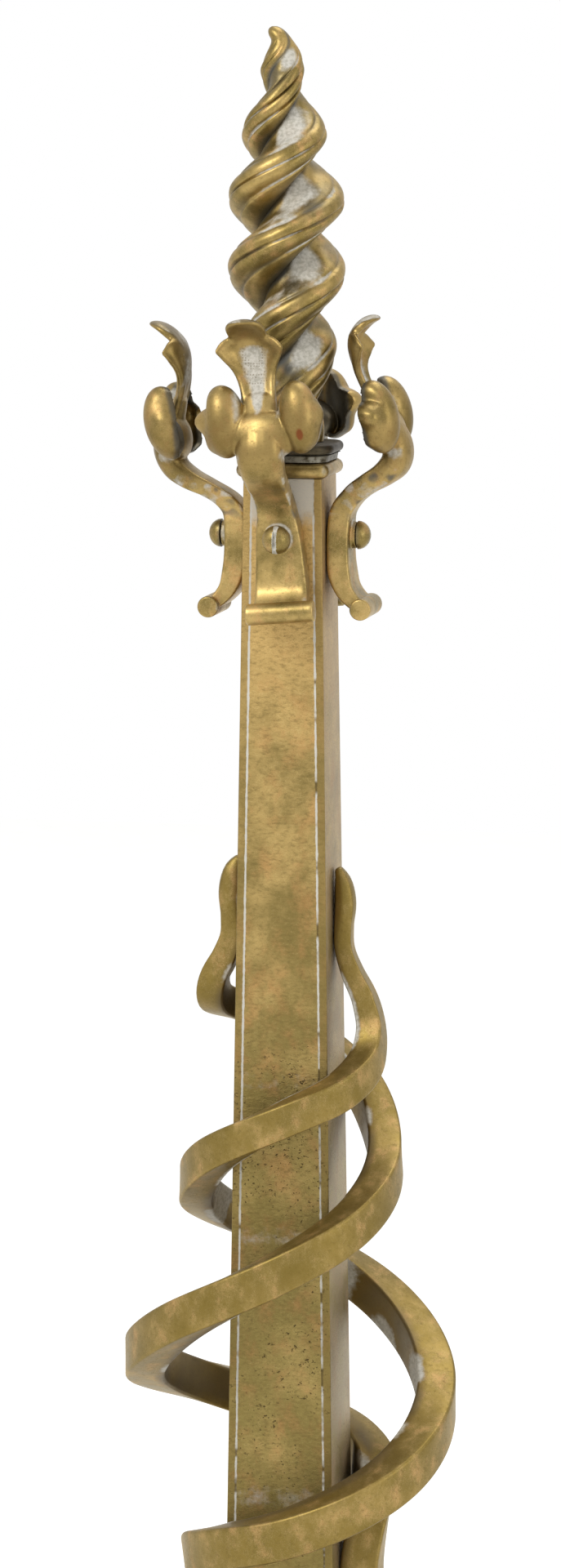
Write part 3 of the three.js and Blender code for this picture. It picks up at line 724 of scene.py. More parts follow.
def column_plate(side, turn):
    """One plate of the box column, lying towards +X before it is turned."""
    full = side in ("left", "right")
    inset = 0 if full else PLATE + SEAM_GAP
    piece = block(f"sheet_{side}", (-1, -1, COLUMN_FOOT), (1, 1, COLUMN_TOP))
    split_along(piece, 2, PLATE_CUTS)
    x, y, z = points_of(piece).T
    half = column_half(z)
    x = np.where(x > 0, half, half - PLATE)
    y = np.sign(y) * (half - inset)
    move_points(piece, np.stack([x, y, z], axis=1))
    if full:
        bevel_edges(piece, lambda a, b: abs(a[2] - b[2]) > 1 and a[0] > column_half(a[2]) - 0.5, 0.4, 3)
    if side == "front":
        height = points_of(piece)[:, 2]
        mask(piece, "chalk", sum(bump_at(height, *spot) * amount for *spot, amount in RESIDUE))
    hand_in(piece, SHEET, f"column_plate_{side}", turn=turn)


for side, ways in SIDES.items():
    column_plate(side, ways["turn"])


# ---- Cap ----

def rounded_outline(half_x, half_y, radius, arcs=8):
    """A rounded rectangle as points, anticlockwise from the right side."""
    points = []
    for turn, corner in enumerate([(1, 1), (-1, 1), (-1, -1), (1, -1)]):
        angles = np.pi / 2 * (turn + np.arange(arcs + 1) / arcs)
        centre = np.array(corner) * [half_x - radius, half_y - radius]
        points.append(centre + radius * np.column_stack([np.cos(angles), np.sin(angles)]))
    return np.concatenate(points)


def moulded(name, half_x, half_y, radius, profile):
    """A turned-looking block with a square plan: profile is [height, how far it is drawn in]."""
    rings = []
    for height, inset in profile:
        corner = max(radius - inset, 0.4)
        outline = rounded_outline(half_x - inset, half_y - inset, corner)
        rings.append(np.column_stack([outline, np.full(len(outline), height)]))
    return roll_up(name, np.array(rings))


def half_round(bottom, top, depth, steps=8):
    """Profile of a round edge between two heights."""
    angles = np.pi * np.arange(steps + 1) / steps
    heights = bottom + (top - bottom) * (1 - np.cos(angles)) / 2
    return list(zip(heights, depth * (1 - np.sin(angles))))


CAP_LIP_SHARE = 0.42               # where the plate's round lip starts, as a share of its height
CAP_NECK = 2.2                     # how far its neck stands back under the lip


def cap_piece(name, node, material, corner, profile, residue):
    """A rounded square piece of the cap, with residue(points) as its chalk mask."""
    low, high = node_box(node)
    half = (high[0] - low[0]) / 2
    piece = moulded(name, half, half, corner, profile)
    mask(piece, "chalk", residue(points_of(piece)))
    hand_in(piece, material, node)


def cap():
    low, high = BEAD_LOW[2], BEAD_HIGH[2]
    corner = BEAD_HIGH[0]
    cap_piece("bead_round", "cap_bead", CAST, 3.6, half_round(low, high, 2.6),
              lambda points: 0.45 * smoothstep(abs(points[:, :2]).min(axis=1), corner - 4, corner - 1))
    low, high = node_box("cap_plate")[:, 2]
    lip = low + (high - low) * CAP_LIP_SHARE
    neck = [(low, 0), (low + 0.5, 0), (lip - 0.6, 0.3), (lip - 0.2, 1.2)]
    profile = [(height, CAP_NECK - out) for height, out in neck] + half_round(lip, high, 1.7)
    # its dark plate is partly browned brass and partly painted shade
    cap_piece("cap_lip", "cap_plate", BROWN_AND_SHADED_CAP, 9, profile,
              lambda points: 0.8 * bump_at(points[:, 2], low + 1.0, 1.6))


cap()


# ---- Finial ----

# [height above its foot, ridge radius, waist radius, sideways lean]
FLAME_NODES = [
    (0, 12.0, 9.0, 0), (8, 12.6, 9.0, 0.2), (17, 13.8, 9.0, 0.4), (36.4, 17.0, 9.2, 0.0),
    (47, 19.2, 8.4, -0.9), (60, 20.9, 9.0, -1.1), (75, 21.6, 8.8, -1.8), (86, 21.1, 8.4, -1.2),
    (101.8, 18.0, 7.2, -2.6), (111.5, 15.4, 6.9, -2.1), (119, 12.4, 5.6, -2.4), (126.3, 9.4, 4.9, -2.6),
    (131, 8.2, 5.2, -2.8), (134.5, 7.7, 5.5, -2.8), (139.3, 6.3, 4.9, -2.4), (142, 5.2, 4.2, -2.4),
    (144.4, 4.1, 3.6, -2.9), (146.4, 3.8, 3.5, -4.1), (148, 3.1, 2.9, -5.0), (149, 2.0, 1.9, -5.5),
    (149.5, 0.9, 0.9, -5.7),
]
# the two strands' waists face sideways at these heights, a little closer together towards the tip
WAIST_FACING = 11.3
WAIST_HEIGHT = 49.0
WAIST_SPACING = 29.4
WAIST_CLOSING = 1.0
# where the hollows are white: [how much, angle round the axis, its spread]
WHITE_FACINGS = [(1.2, -1.0, 0.6), (0.5, -2.6, 0.3), (0.7, 1.7, 0.6)]
FLAME_RINGS = 320
FLAME_SIDES = 132
RISE_SHARE = 0.58


def half_turns(height):
    """How many half turns the strands have made at a height, counted from the waist at WAIST_HEIGHT."""
    root = np.sqrt(np.maximum(WAIST_SPACING ** 2 - 4 * WAIST_CLOSING * (height - WAIST_HEIGHT), 1))
    return (WAIST_SPACING - root) / (2 * WAIST_CLOSING)


def strand_profile(q):
    """How far a strand stands out, from one waist (0) down to the next (1), and its grooves."""
    rise = np.sin(np.pi / 2 * np.clip(q / RISE_SHARE, 0, 1)) ** 1.15
    fall = np.cos(np.pi / 2 * np.clip((q - RISE_SHARE) / (1 - RISE_SHARE), 0, 1)) ** 0.8
    swell = np.where(q < RISE_SHARE, rise, fall)
    scoop = bump_at(q, 0.2, 0.13)
    grooves = bump_at(q, 0.4, 0.022) * 0.75 + bump_at(q, 0.61, 0.018) + bump_at(q, 0.82, 0.02)
    ribs = bump_at(q, 0.5, 0.08) + bump_at(q, 0.715, 0.07) + bump_at(q, 0.9, 0.05)
    return swell, scoop, grooves, ribs


def finial():
    heights = np.linspace(0, FLAME_NODES[-1][0], FLAME_RINGS)
    line, _ = through([(n[0], 0, 0, n[1], n[2], n[3]) for n in FLAME_NODES])
    ridge, waist, lean = (np.interp(heights, line[:, 0], line[:, k])[:, None] for k in (3, 4, 5))
    around = np.arange(FLAME_SIDES) / FLAME_SIDES * 2 * np.pi
    turn = half_turns(heights) * np.pi + math.radians(WAIST_FACING)
    angle = around[None] + turn[:, None]
    swell, scoop, grooves, ribs = strand_profile((around[None] / np.pi) % 1.0)
    fade = smoothstep(heights, 147, 130)[:, None]
    depth = ridge - waist
    radius = waist + depth * swell + fade * (ribs * 0.45 - scoop * 0.2 * depth)
    ring_height = np.broadcast_to(heights[:, None], radius.shape)
    places = np.stack([radius * np.cos(angle) + lean, radius * np.sin(angle), ring_height], axis=2)
    flat = places.reshape(-1, 3)
    wear = patchy(flat, 0.09, 6).reshape(radius.shape)
    lumps = wobble(flat, 0.13, 1).reshape(radius.shape) * (0.3 + 2.2 * scoop * fade)
    inward = fade * grooves * (0.45 + 0.9 * wear) - lumps * 0.6
    places += np.stack([-np.cos(angle) * inward, -np.sin(angle) * inward, 0 * angle + FINIAL_FOOT], axis=2)
    piece = roll_up("flame", places)

    point = points_of(piece)
    height = point[:, 2] - FINIAL_FOOT
    facing = np.arctan2(point[:, 1], point[:, 0] - np.interp(height, heights, lean[:, 0]))
    phase = ((facing - np.interp(height, heights, turn)) / np.pi) % 1.0
    _, scoop, grooves, _ = strand_profile(phase)
    patch, streak = patchy(point, 0.075, 4), patchy(point, 0.05, 8)
    hollow = bump_at(phase, 0.19, 0.2)
    # the hollows that face the photograph's right front are the whitest
    facing_share = sum(amount * bump_at(facing, centre, width) for amount, centre, width in WHITE_FACINGS)
    in_grooves = grooves * smoothstep(streak, 0.4, 0.62) * 0.85
    in_hollows = hollow * (facing_share * (0.4 + 0.6 * smoothstep(streak, 0.35, 0.6))
                           + 0.4 * smoothstep(patch, 0.45, 0.65))
    mask(piece, "chalk", (in_grooves + in_hollows) * smoothstep(height, 146, 136))
    # painted shadow: the dark crease just under each band's lower edge; the grooves and hollows are also
    # darkened in patches
    band_shadow = bump_at(phase, 0.03, 0.06) + bump_at(phase, 1.0, 0.04)
    in_hollows = hollow * (smoothstep(patch, 0.46, 0.3) * 0.5
                           + facing_share * smoothstep(streak, 0.5, 0.3) * 0.8)
    mask(piece, "dark", band_shadow * 0.8 + grooves * smoothstep(streak, 0.5, 0.34) * 0.6 + in_hollows)
    hand_in(piece, FLAME, "finial_flame", angle=70)


finial()


# ---- Bars with a changing section ----

def swept(name, nodes, outward, count, corner, rounds, softness=None):
    """A bar along nodes [x, y, z, thickness, width, ...], thickness lying along outward."""
    line, run = through(nodes)
    spots, inset = stations(run[-1], count, *rounds)
    ring = at(line, run, spots)
    ahead = at(line, run, np.minimum(spots + TANGENT_STEP, run[-1]))[:, :3]
    behind = at(line, run, np.maximum(spots - TANGENT_STEP, 0))[:, :3]
    tangent = unit(ahead - behind)
    out = outward(ring[:, :3], tangent)
    normal = unit(out - tangent * np.sum(out * tangent, axis=1, keepdims=True))
    across = np.cross(tangent, normal)
    square, circle = square_section(corner)
    soft = softness(ring)[:, None, None] if softness else 0
    half = np.maximum(ring[:, 3:5] / 2 - inset[:, None], 0.05)
    section = (square * (1 - soft) + circle * soft) * half[:, None]
    offset = section[:, :, :1] * normal[:, None] + section[:, :, 1:] * across[:, None]
    return roll_up(name, ring[:, None, :3] + offset)


# ---- Leaf brackets ----

# strap and bulb: [past the strap's middle, above the screw, thickness, width, softness]
STRAP_NODES = [
    (7.6, -25.0, 5.2, 19.6, 0.0), (5.2, -23.0, 5.8, 19.2, 0.0), (2.5, -19.5, 6.8, 19.0, 0.0),
    (0.7, -14.3, 8.2, 18.4, 0.0), (0, -8.3, 8.2, 17.6, 0.0), (0, 2.7, 8.2, 15.8, 0.0),
    (1, 9.3, 8.2, 14.2, 0.1), (5.1, 15.1, 7.8, 13.4, 0.12), (10.7, 19.3, 7.6, 14.0, 0.2),
    (16.9, 22.9, 8.6, 15.4, 0.45), (21.9, 27.5, 10.6, 17.0, 0.9), (23.4, 33.3, 11.2, 17.6, 1.0),
    (22.0, 39.7, 9.8, 16.0, 1.0), (18.6, 47.1, 6.6, 13.0, 1.0), (15.6, 53.3, 4.4, 10.0, 1.0),
]
# middle line of the trefoil: [past the strap's middle, above the screw]
LEAF_LINE = [
    (20.2, 42.5), (17.4, 49), (14.6, 55), (12.4, 60.5), (11.3, 65.5), (11.2, 69.5),
    (12.4, 73.2), (15.0, 76.2), (18.4, 78.3), (21.8, 79.3), (24.2, 79.4),
]
# right half of its outline: [aside, along the middle line]
LEAF_OUTLINE = [
    (0, 0), (6.0, 0), (6.4, 8), (6.8, 15.5), (8.2, 20.5), (10.4, 24.2), (12.0, 27.6), (12.4, 31.0),
    (11.6, 33.6), (9.6, 35.0), (7.4, 35.2), (6.8, 36.4), (7.2, 38.4), (6.8, 41.2), (5.2, 43.8), (2.8, 45.6),
    (0, 46.2),
]
LEAF_CENTRE = 24.0
LEAF_RIM = 3.0
LEAF_MIDDLE = 1.9
LEAF_CUP = 6.2
LEAF_SIDES = 120
LEAF_RIM_START = 0.8               # where the rim starts to round over, as a share of the way out
LOBE_OFFSET = {-1: 12.4, 1: 14.6}  # aside, for the left and the right lobe
LOBE_PAST = 19.6
LOBE_RISE = 44.4
LOBE_HALF = (8.2, 7.5, 13.2)       # depth, width and height
LOBE_POINT = {-1: 0.5, 1: 0.16}    # how pointed each lobe's outer corner is
# a lobe's outline swells or draws in at these places: [how much, degrees round it, spread]
LOBE_CORNERS = [(1, -182, 0.26), (-0.35, -215, 0.2), (0.35, -142, 0.3)]
LOBE_WALL = 1.7
LOBE_BACK = 4.2                    # thickness behind the middle of a lobe's face
LOBE_LIP = math.radians(114)
LOBE_REACH = 1.2                   # what lies this many times its size from a lobe's middle is on it
LOBE_TURN = 24
CASTING_GRAIN = 0.42               # voxel size of the skin that joins the casting's parts
FLOWER_START = 20                  # above this height the casting is smoothed the most
WEB_HALF = (6.2, 14.0, 9.0)        # the body that joins the lobes to the bulb
WEB_PLACE = (20.6, 0.8, 38.5)
BOSS_RADIUS = 4.9
BOSS_RISE = 1.9
SCREW_HOLE = 2.9
SCREW_SHANK = 2.6
SCREW_HEAD = 5.2
SCREW_HEAD_HEIGHT = 4.6
SCREW_PAST_PLATE = 3.5
SLOT_HALF = 0.6
SLOT_DEPTH = 1.1
ROLL_RADIUS = 3.9
ROLL_LENGTH = 25.0
ROLL_PAST = 9.1
ROLL_RISE = -26.2


def outward_in_side(point, tangent):
    return np.stack([tangent[:, 2], np.zeros(len(tangent)), -tangent[:, 0]], axis=1)


def ball(name, half, centre, segments=48, rings=32):
    """A ball drawn out to an egg."""
    deselect()
    bpy.ops.mesh.primitive_uv_sphere_add(segments=segments, ring_count=rings, radius=1)
    piece = named(name)
    move_points(piece, points_of(piece) * np.array(half) + np.array(centre))
    return piece


def round_head(name, radius, seat, height, segments=48, rings=32):
    """A ball whose lower half is pressed flat, standing on its seat."""
    head = ball(name, (radius, radius, height), (0, 0, 0), segments, rings)
    place = points_of(head)
    place[:, 2] = seat + np.maximum(place[:, 2], 0)
    move_points(head, place)
    return head


def dome(way):
    """A hollow domed side lobe: a ball whose back half is pushed inside the front one."""
    piece = ball("lobe", (1, 1, 1), (0, 0, 0), 60, 46)
    place = points_of(piece)
    from_front = np.arccos(np.clip(place[:, 2], -1, 1))
    facing = np.arctan2(place[:, 1], place[:, 0])
    inside = from_front > LOBE_LIP
    opening = np.where(inside, LOBE_LIP * (np.pi - from_front) / (np.pi - LOBE_LIP), from_front)
    depth, width, height = LOBE_HALF
    wall = np.where(inside, LOBE_WALL, 0.0)
    back = np.where(inside, LOBE_BACK, 0.0)
    rim = smoothstep(opening, 0.5, 1.15)
    point = LOBE_POINT[way] * rim
    below_side = np.where(facing > 0, facing - 2 * np.pi, facing)
    outline = 1 + point * sum(amount * bump_at(below_side, math.radians(turn), spread)
                              for amount, turn, spread in LOBE_CORNERS)
    x = (depth - back) * np.cos(opening) + 3.2 * point * bump_at(below_side, math.radians(-180), 0.3)
    y = (width - wall * 0.8) * np.sin(opening) * np.cos(facing) * outline
    z = (height - wall * 0.8) * np.sin(opening) * np.sin(facing) * outline
    points = turned(np.stack([x, -way * y, z], axis=1), way * LOBE_TURN)
    move_points(piece, points + np.array([STRAP_MIDDLE + LOBE_PAST, way * LOBE_OFFSET[way], LOBE_RISE]))
    take(piece)
    edit()
    return face_outwards(piece)


def leaf():
    """The trefoil: a cupped sheet with a thick round rim, hooked outwards at its tip."""
    line, run = through([(STRAP_MIDDLE + x, 0, z) for x, z in LEAF_LINE])
    half = np.array(LEAF_OUTLINE)
    loop = np.concatenate([half, half[-2:0:-1] * [-1, 1], half[:1]])
    edge, _ = through(np.column_stack([loop, np.zeros(len(loop))]))
    edge = edge[:, :2] - [0, LEAF_CENTRE]
    facing = np.arctan2(edge[:, 1], edge[:, 0])
    order = np.argsort(facing)
    around = np.arange(LEAF_SIDES) / LEAF_SIDES * 2 * np.pi - np.pi
    reach = np.interp(around, facing[order], np.hypot(*edge.T)[order], period=2 * np.pi)
    rim_share = 1 - LEAF_RIM_START
    flat_part, rim_part = np.linspace(0.02, LEAF_RIM_START, 22), np.sin(np.linspace(0.1, np.pi / 2, 9))
    front = np.concatenate([flat_part, LEAF_RIM_START + rim_share * rim_part])
    share = np.concatenate([front, front[-2::-1]])[:, None]
    face = np.concatenate([np.ones(len(front)), -np.ones(len(front) - 1)])[:, None]
    aside = share * reach * np.cos(around)
    along = share * reach * np.sin(around) + LEAF_CENTRE
    thick = LEAF_MIDDLE + (LEAF_RIM - LEAF_MIDDLE) * smoothstep(share, 0.45, LEAF_RIM_START)
    into_rim = np.clip(share - LEAF_RIM_START, 0, 1) / rim_share
    thick = thick * np.sqrt(np.clip(1 - into_rim ** 2, 0, 1))
    cup = LEAF_CUP * smoothstep(along, 8, 24) * (1 - 0.6 * smoothstep(along, 29, 45))
    offset = face * thick / 2 + cup * (np.abs(aside) / 12) ** 2
    spot = at(line, run, along.ravel())
    ahead, behind = (at(line, run, along.ravel() + step) for step in (TANGENT_STEP, -TANGENT_STEP))
    normal = outward_in_side(spot, unit(ahead - behind))
    points = spot + normal * offset.reshape(-1, 1)
    points[:, 1] = aside.ravel()
    return roll_up("leaf", points.reshape(*aside.shape, 3))


def bracket_casting():
    """The whole casting, unbent, with heights above its screw."""
    strap_nodes = [(STRAP_MIDDLE + n[0], 0, *n[1:]) for n in STRAP_NODES]
    strap = swept("strap", strap_nodes, outward_in_side, 70, 0.2, (0.8, 2.0), softness=lambda r: r[:, 5])
    boss_end = STRAP_MIDDLE + STRAP_THICKNESS / 2 + BOSS_RISE
    boss = rod("boss", BOSS_RADIUS, (STRAP_MIDDLE, 0, 0), (boss_end, 0, 0), 40)
    web = ball("web", WEB_HALF, (STRAP_MIDDLE + WEB_PLACE[0], *WEB_PLACE[1:]))
    casting = join("casting", [strap, leaf(), dome(-1), dome(1), web, boss])
    modified(casting, "REMESH", mode="VOXEL", voxel_size=CASTING_GRAIN)
    group = casting.vertex_groups.new(name="flower")
    rise = points_of(casting)[:, 2]
    for index, weight in enumerate(0.25 + 0.75 * smoothstep(rise, FLOWER_START, FLOWER_START + 8)):
        group.add([index], float(weight), "REPLACE")
    modified(casting, "SMOOTH", factor=0.5, iterations=9, vertex_group=group.name)
    casting.vertex_groups.clear()
    drill(casting, SCREW_HOLE, (0, 0, 0), (60, 0, 0), 24)
    casting_masks(casting)
    return casting


def lobe_hollow(past, across, rise):
    """1 on the inner faces of the two side lobes, 0 elsewhere."""
    tilt = math.radians(LOBE_TURN)
    offset = np.where(across < 0, LOBE_OFFSET[-1], LOBE_OFFSET[1])
    ahead, aside, above = past - LOBE_PAST, abs(across) - offset, rise - LOBE_RISE
    deep = ahead * math.cos(tilt) + aside * math.sin(tilt)
    sideways = aside * math.cos(tilt) - ahead * math.sin(tilt)
    depth, width, height = LOBE_HALF
    near = np.stack([deep / depth, sideways / width, above / height]) / LOBE_REACH
    hollow = np.hypot(sideways / (width - LOBE_WALL), above / (height - LOBE_WALL))
    inner = smoothstep(deep, 0.5, -1.5) + smoothstep(hollow, 1.0, 0.7) * smoothstep(deep, 5.0, 4.0)
    return np.minimum(inner, 1) * ((near ** 2).sum(axis=0) < 1) * (aside > -6.5)


def casting_masks(casting):
    """Stores where polish, dirt, darkening, age and punched dots lie on the unbent casting."""
    place = points_of(casting)
    past, across, rise = place[:, 0] - STRAP_MIDDLE, place[:, 1], place[:, 2]
    aside = abs(across)
    patch, streak = patchy(place, 0.11, 12), patchy(place, 0.22, 18)
    leaf_past, leaf_rise = np.transpose(LEAF_LINE)
    centre = np.interp(rise, leaf_rise, leaf_past)
    front = smoothstep(past, centre - 0.5, centre + 0.6)
    back_of_leaf = smoothstep(rise, 52, 60) * (1 - front)
    recess = np.interp(rise, [46, 52, 60, 68], [1.6, 2.4, 4.2, 5.4])
    stipple = bump_at(across, 0, recess) * between(rise, 44, 50, 68, 73) * front
    junction = bump_at(aside, 7.4, 1.8) * between(rise, 40, 47, 54, 60) * front
    crook = bump_at(aside, 8.8, 2.2) * bump_at(rise, 31, 2.6)
    boss_ring = bump_at(np.hypot(across, rise), 5.4, 0.9) * smoothstep(past, 3.4, 4.4)
    strap_line, _ = through([(x, 0, z, width) for x, z, _, width, _ in STRAP_NODES])
    edge = np.interp(rise, strap_line[:, 2], strap_line[:, 3]) / 2 - aside
    along_edge = bump_at(edge, 0.4, 0.6) * (rise > 4) * between(rise, 5, 9, 22, 28)
    foot = bump_at(rise, -22, 3.0) * smoothstep(past, 5, 8) * smoothstep(patch, 0.4, 0.7)
    mask(casting, "chalk", stipple + 0.55 * junction + crook * 0.6 + foot * 0.4
         + boss_ring * 0.7 * smoothstep(patch, 0.4, 0.65)
         + along_edge * smoothstep(streak, 0.42, 0.6) * 0.6
         + back_of_leaf * smoothstep(patch, 0.38, 0.58) * 0.55)
    # darker on the back of the leaf and in streaks along the strap's edges, and darkest inside the side
    # lobes
    grime_and_darkening = 0.55 * back_of_leaf + along_edge * smoothstep(streak, 0.45, 0.3) * 0.8
    mask(casting, "dark", np.maximum(0.9 * lobe_hollow(past, across, rise), grime_and_darkening))
    mask(casting, "stipple", stipple * smoothstep(rise, 54, 58))
    mask(casting, "aged", smoothstep(rise, 54, 64) * 0.5 + bump_at(rise, 32, 11) * 0.6
         + bump_at(aside, 14, 8) * bump_at(rise, 46, 12) * 0.6)


def rolled(points, degrees):
    """Turns points about the X axis."""
    angle = math.radians(degrees)
    c, s = math.cos(angle), math.sin(angle)
    return points @ np.array([[1, 0, 0], [0, c, s], [0, -s, c]])


def bend(points, side):
    """Bends a casting as each of the four was bent by hand."""
    ways = SIDES[side]
    past, across, rise = points[:, 0], points[:, 1], points[:, 2]
    past = past + ways["lean"] * np.maximum(0, rise - 16.7)
    across = across + ways["aside"] * np.maximum(0, (rise - 49.7) / 26)
    rise = rise - ways["drop"] * smoothstep(rise, 3.7, 23.7)
    return rolled(np.stack([past, across, rise], axis=1), ways["twist"]) + [0, 0, SCREW_HEIGHT]


def roll():
    """The round bar across the strap's lower end."""
    x, half = STRAP_MIDDLE + ROLL_PAST, ROLL_LENGTH / 2
    piece = rod("roll", ROLL_RADIUS, (x, -half, ROLL_RISE), (x, half, ROLL_RISE), 56)
    bevel_edges(piece, lambda a, b: abs(a[1] - b[1]) < 0.01, 0.7, 3)
    split_along(piece, 1, 24)
    place = points_of(piece)
    mask(piece, "chalk", bump_at(place[:, 0], x - ROLL_RADIUS, 1.2) * 0.5)
    return piece


def domed_screw(seat, tip, slot_turn):
    """A slotted round-head screw along +X, with white polish in its slot."""
    head = round_head("head", SCREW_HEAD, seat, SCREW_HEAD_HEIGHT)
    move_points(head, points_of(head)[:, [2, 0, 1]])
    top = seat + SCREW_HEAD_HEIGHT
    slot = block("slot", (top - SLOT_DEPTH, -SLOT_HALF, -7), (top + 2, SLOT_HALF, 7))
    move_points(slot, rolled(points_of(slot), slot_turn))
    cut_away(head, slot)
    stem = rod("stem", SCREW_SHANK, (tip, 0, 0), (seat + OVERLAP, 0, 0), 24)
    screw = join("screw", [head, stem])
    place = points_of(screw)
    past, aside, along = rolled(place, -slot_turn).T
    dome_rise = SCREW_HEAD_HEIGHT * np.sqrt(np.clip(1 - (np.hypot(aside, along) / SCREW_HEAD) ** 2, 0, 1))
    in_slot = (abs(aside) < SLOT_HALF + 0.15) & (past > seat + 1.0) & (dome_rise > 0.5)
    mask(screw, "chalk", in_slot * 1.0)
    mask(screw, "dark", bump_at(place[:, 0], seat, 0.7) * 0.5)
    return screw


def bend_copy(piece, side):
    """Bends one side's copy, and stains the front casting's right lobe with a rusty spot."""
    place = points_of(piece)
    if piece.name == "leaf_casting_front":
        spot = np.hypot((place[:, 1] - 15.6) / 1.3, (place[:, 2] - 38.5) / 2.2)
        mask(piece, "stain", smoothstep(spot, 1.15, 0.7) * (place[:, 0] > STRAP_MIDDLE + LOBE_PAST))
    move_points(piece, bend(place, side))


def brackets():
    half = column_half(SCREW_HEIGHT)
    seat = STRAP_MIDDLE + STRAP_THICKNESS / 2 + BOSS_RISE + GAP
    masters = [
        (bracket_casting(), "leaf_casting", "bracket", CAST, "bracket_brass", 50),
        (roll(), "round_roll", "bracket_roll", CAST, "bracket_brass", 40),
        (domed_screw(seat, half - PLATE - SCREW_PAST_PLATE, -7), "slotted_screw", "bracket_screw",
         TURNED, "screw_brass", 40),
    ]
    hand_in_copies(masters, {side: ways["turn"] for side, ways in SIDES.items()}, bend_copy)


brackets()


# ---- Tendrils ----

def straight_foot(turn, *rises):
    """Rows for a wound bar's straight lower end, which lies flat on the column."""
    rises = (*rises, COLUMN_FOOT - TENDRIL_SCREW_HEIGHT)
    return [(turn, GAP + TENDRIL_THICKNESS / 2, rise, TENDRIL_THICKNESS, TENDRIL_WIDTH) for rise in rises]


# [degrees round the column, from the column's side, above the tendril's screw, thickness, width]
RIGHT_TENDRIL = [
    (2, 1.8, 292.5, 2.6, 4.5), (2, 3.5, 287.5, 6.2, 8.4), (2, 4.3, 279.5, 8.0, 10.0),
    (1, 3.8, 270.5, 6.8, 9.0), (1, 4.0, 262.5, 6.4, 8.4), (0, 7.0, 253.5, 7.4, 9.0),
    (-1, 11.1, 245, 8.4, 9.8), (-3, 13.8, 235, 9.4, 10.6), (-12, 14.8, 225.5, 10.2, 11.2),
    (-40, 15.7, 215, 11.0, 11.8), (-78.7, 16.6, 205.5, 11.6, 12.2), (-124, 16.8, 191.5, 12.2, 12.6),
    (-168.7, 16.7, 174, 12.4, 13.0), (-214, 19.5, 159, 12.8, 13.4), (-258.7, 25.1, 143, 13.2, 13.8),
    (-304, 31.4, 122, 13.8, 14.4), (-348.7, 35.6, 94.7, 14.4, 15.0), (-394, 32.7, 70, 15.0, 15.4),
    (-438.7, 24.4, 52.5, 15.2, 15.6), (-484, 17.3, 42, 14.8, 15.6), (-514, 14.0, 34.5, 14.2, 15.6),
    (-532, 9.7, 24, 14.4, 15.6), *straight_foot(-540, 11, 1, -13),
]
LEFT_TENDRIL = [
    (-182, 2.2, 295.5, 3.4, 4.5), (-182, 4.6, 291, 7.4, 8.4), (-182, 5.8, 283, 9.2, 10.0),
    (-181, 5.1, 273.5, 8.4, 9.0), (-181, 5.0, 266.5, 8.2, 8.6), (-182, 7.7, 258.5, 9.2, 9.4),
    (-184, 12.0, 250.5, 10.2, 10.4), (-194, 14.1, 242.5, 10.4, 11.0), (-226, 14.4, 235.5, 10.6, 11.4),
    (-258.7, 15.1, 228, 11.0, 11.8), (-304, 16.4, 210, 11.6, 12.2), (-348.7, 17.5, 187, 12.4, 12.8),
    (-394, 20.6, 169, 13.2, 13.4), (-438.7, 25.8, 152, 13.8, 14.2), (-484, 31.7, 132, 14.2, 14.6),
    (-528.7, 35.0, 107.8, 14.8, 15.0), (-574, 31.5, 90, 15.2, 15.4), (-618.7, 23.7, 77, 15.2, 15.6),
    (-664, 17.2, 67, 14.8, 15.6), (-696, 13.5, 58, 14.2, 15.6), (-712, 9.7, 45, 14.4, 15.6),
    *straight_foot(-720, 29, 11, -13),
]
TENDRIL_SAMPLES = 8                # samples of the smooth line for each row of its table
TENDRIL_RINGS = 330
TENDRIL_ROUNDS = (425, 445)        # between these heights its square section grows round
FLAT_FOOT = 130                    # near this height it lies on the column, so it isn't uneven there


def from_axis(point, tangent=None):
    return point * [1, 1, 0]


def wound(points):
    """Turns [degrees, from the column's side, above the screw] into places."""
    angle = np.radians(points[:, 0])
    height = TENDRIL_SCREW_HEIGHT + points[:, 2]
    reach = column_half(height) + points[:, 1]
    return np.stack([reach * np.cos(angle), reach * np.sin(angle), height], axis=1)


def tendril(name, nodes, node, way):
    smooth, _ = through(nodes, len(nodes) * TENDRIL_SAMPLES)
    path = np.column_stack([wound(smooth[:, :3]), smooth[:, 3:]])
    piece = swept(name, path, from_axis, TENDRIL_RINGS, 0.17, (0.8, 0.1),
                  softness=lambda ring: 0.75 * smoothstep(ring[:, 2], *TENDRIL_ROUNDS))
    place = points_of(piece)
    irregular = wobble(place, 0.035, 2 + way)[:, None]
    outward = unit(from_axis(place) + 1e-9)
    above_foot = smoothstep(abs(place[:, 2] - FLAT_FOOT), 50, 70)[:, None]
    move_points(piece, place + outward * (irregular - 0.8) * 0.25 * above_foot)
    drill(piece, SCREW_HOLE, (0, 0, TENDRIL_SCREW_HEIGHT), (way * 60, 0, TENDRIL_SCREW_HEIGHT), 24)
    place = points_of(piece)
    reach = np.hypot(place[:, 0], place[:, 1])
    path_reach = np.interp(place[:, 2], path[::-1, 2], np.hypot(path[::-1, 0], path[::-1, 1]))
    half_thickness = np.interp(place[:, 2], path[::-1, 2], path[::-1, 3]) / 2
    inner = smoothstep((path_reach - reach) / half_thickness, 0.42, 0.8)
    patch = patchy(place, 0.06, 9)
    mask(piece, "chalk", inner * smoothstep(patch, 0.48, 0.7) * 0.8)
    mask(piece, "aged", inner * 0.9)
    mask(piece, "dark", inner * smoothstep(patch, 0.6, 0.35) * 0.35)
    hand_in(piece, WROUGHT, node, angle=32)


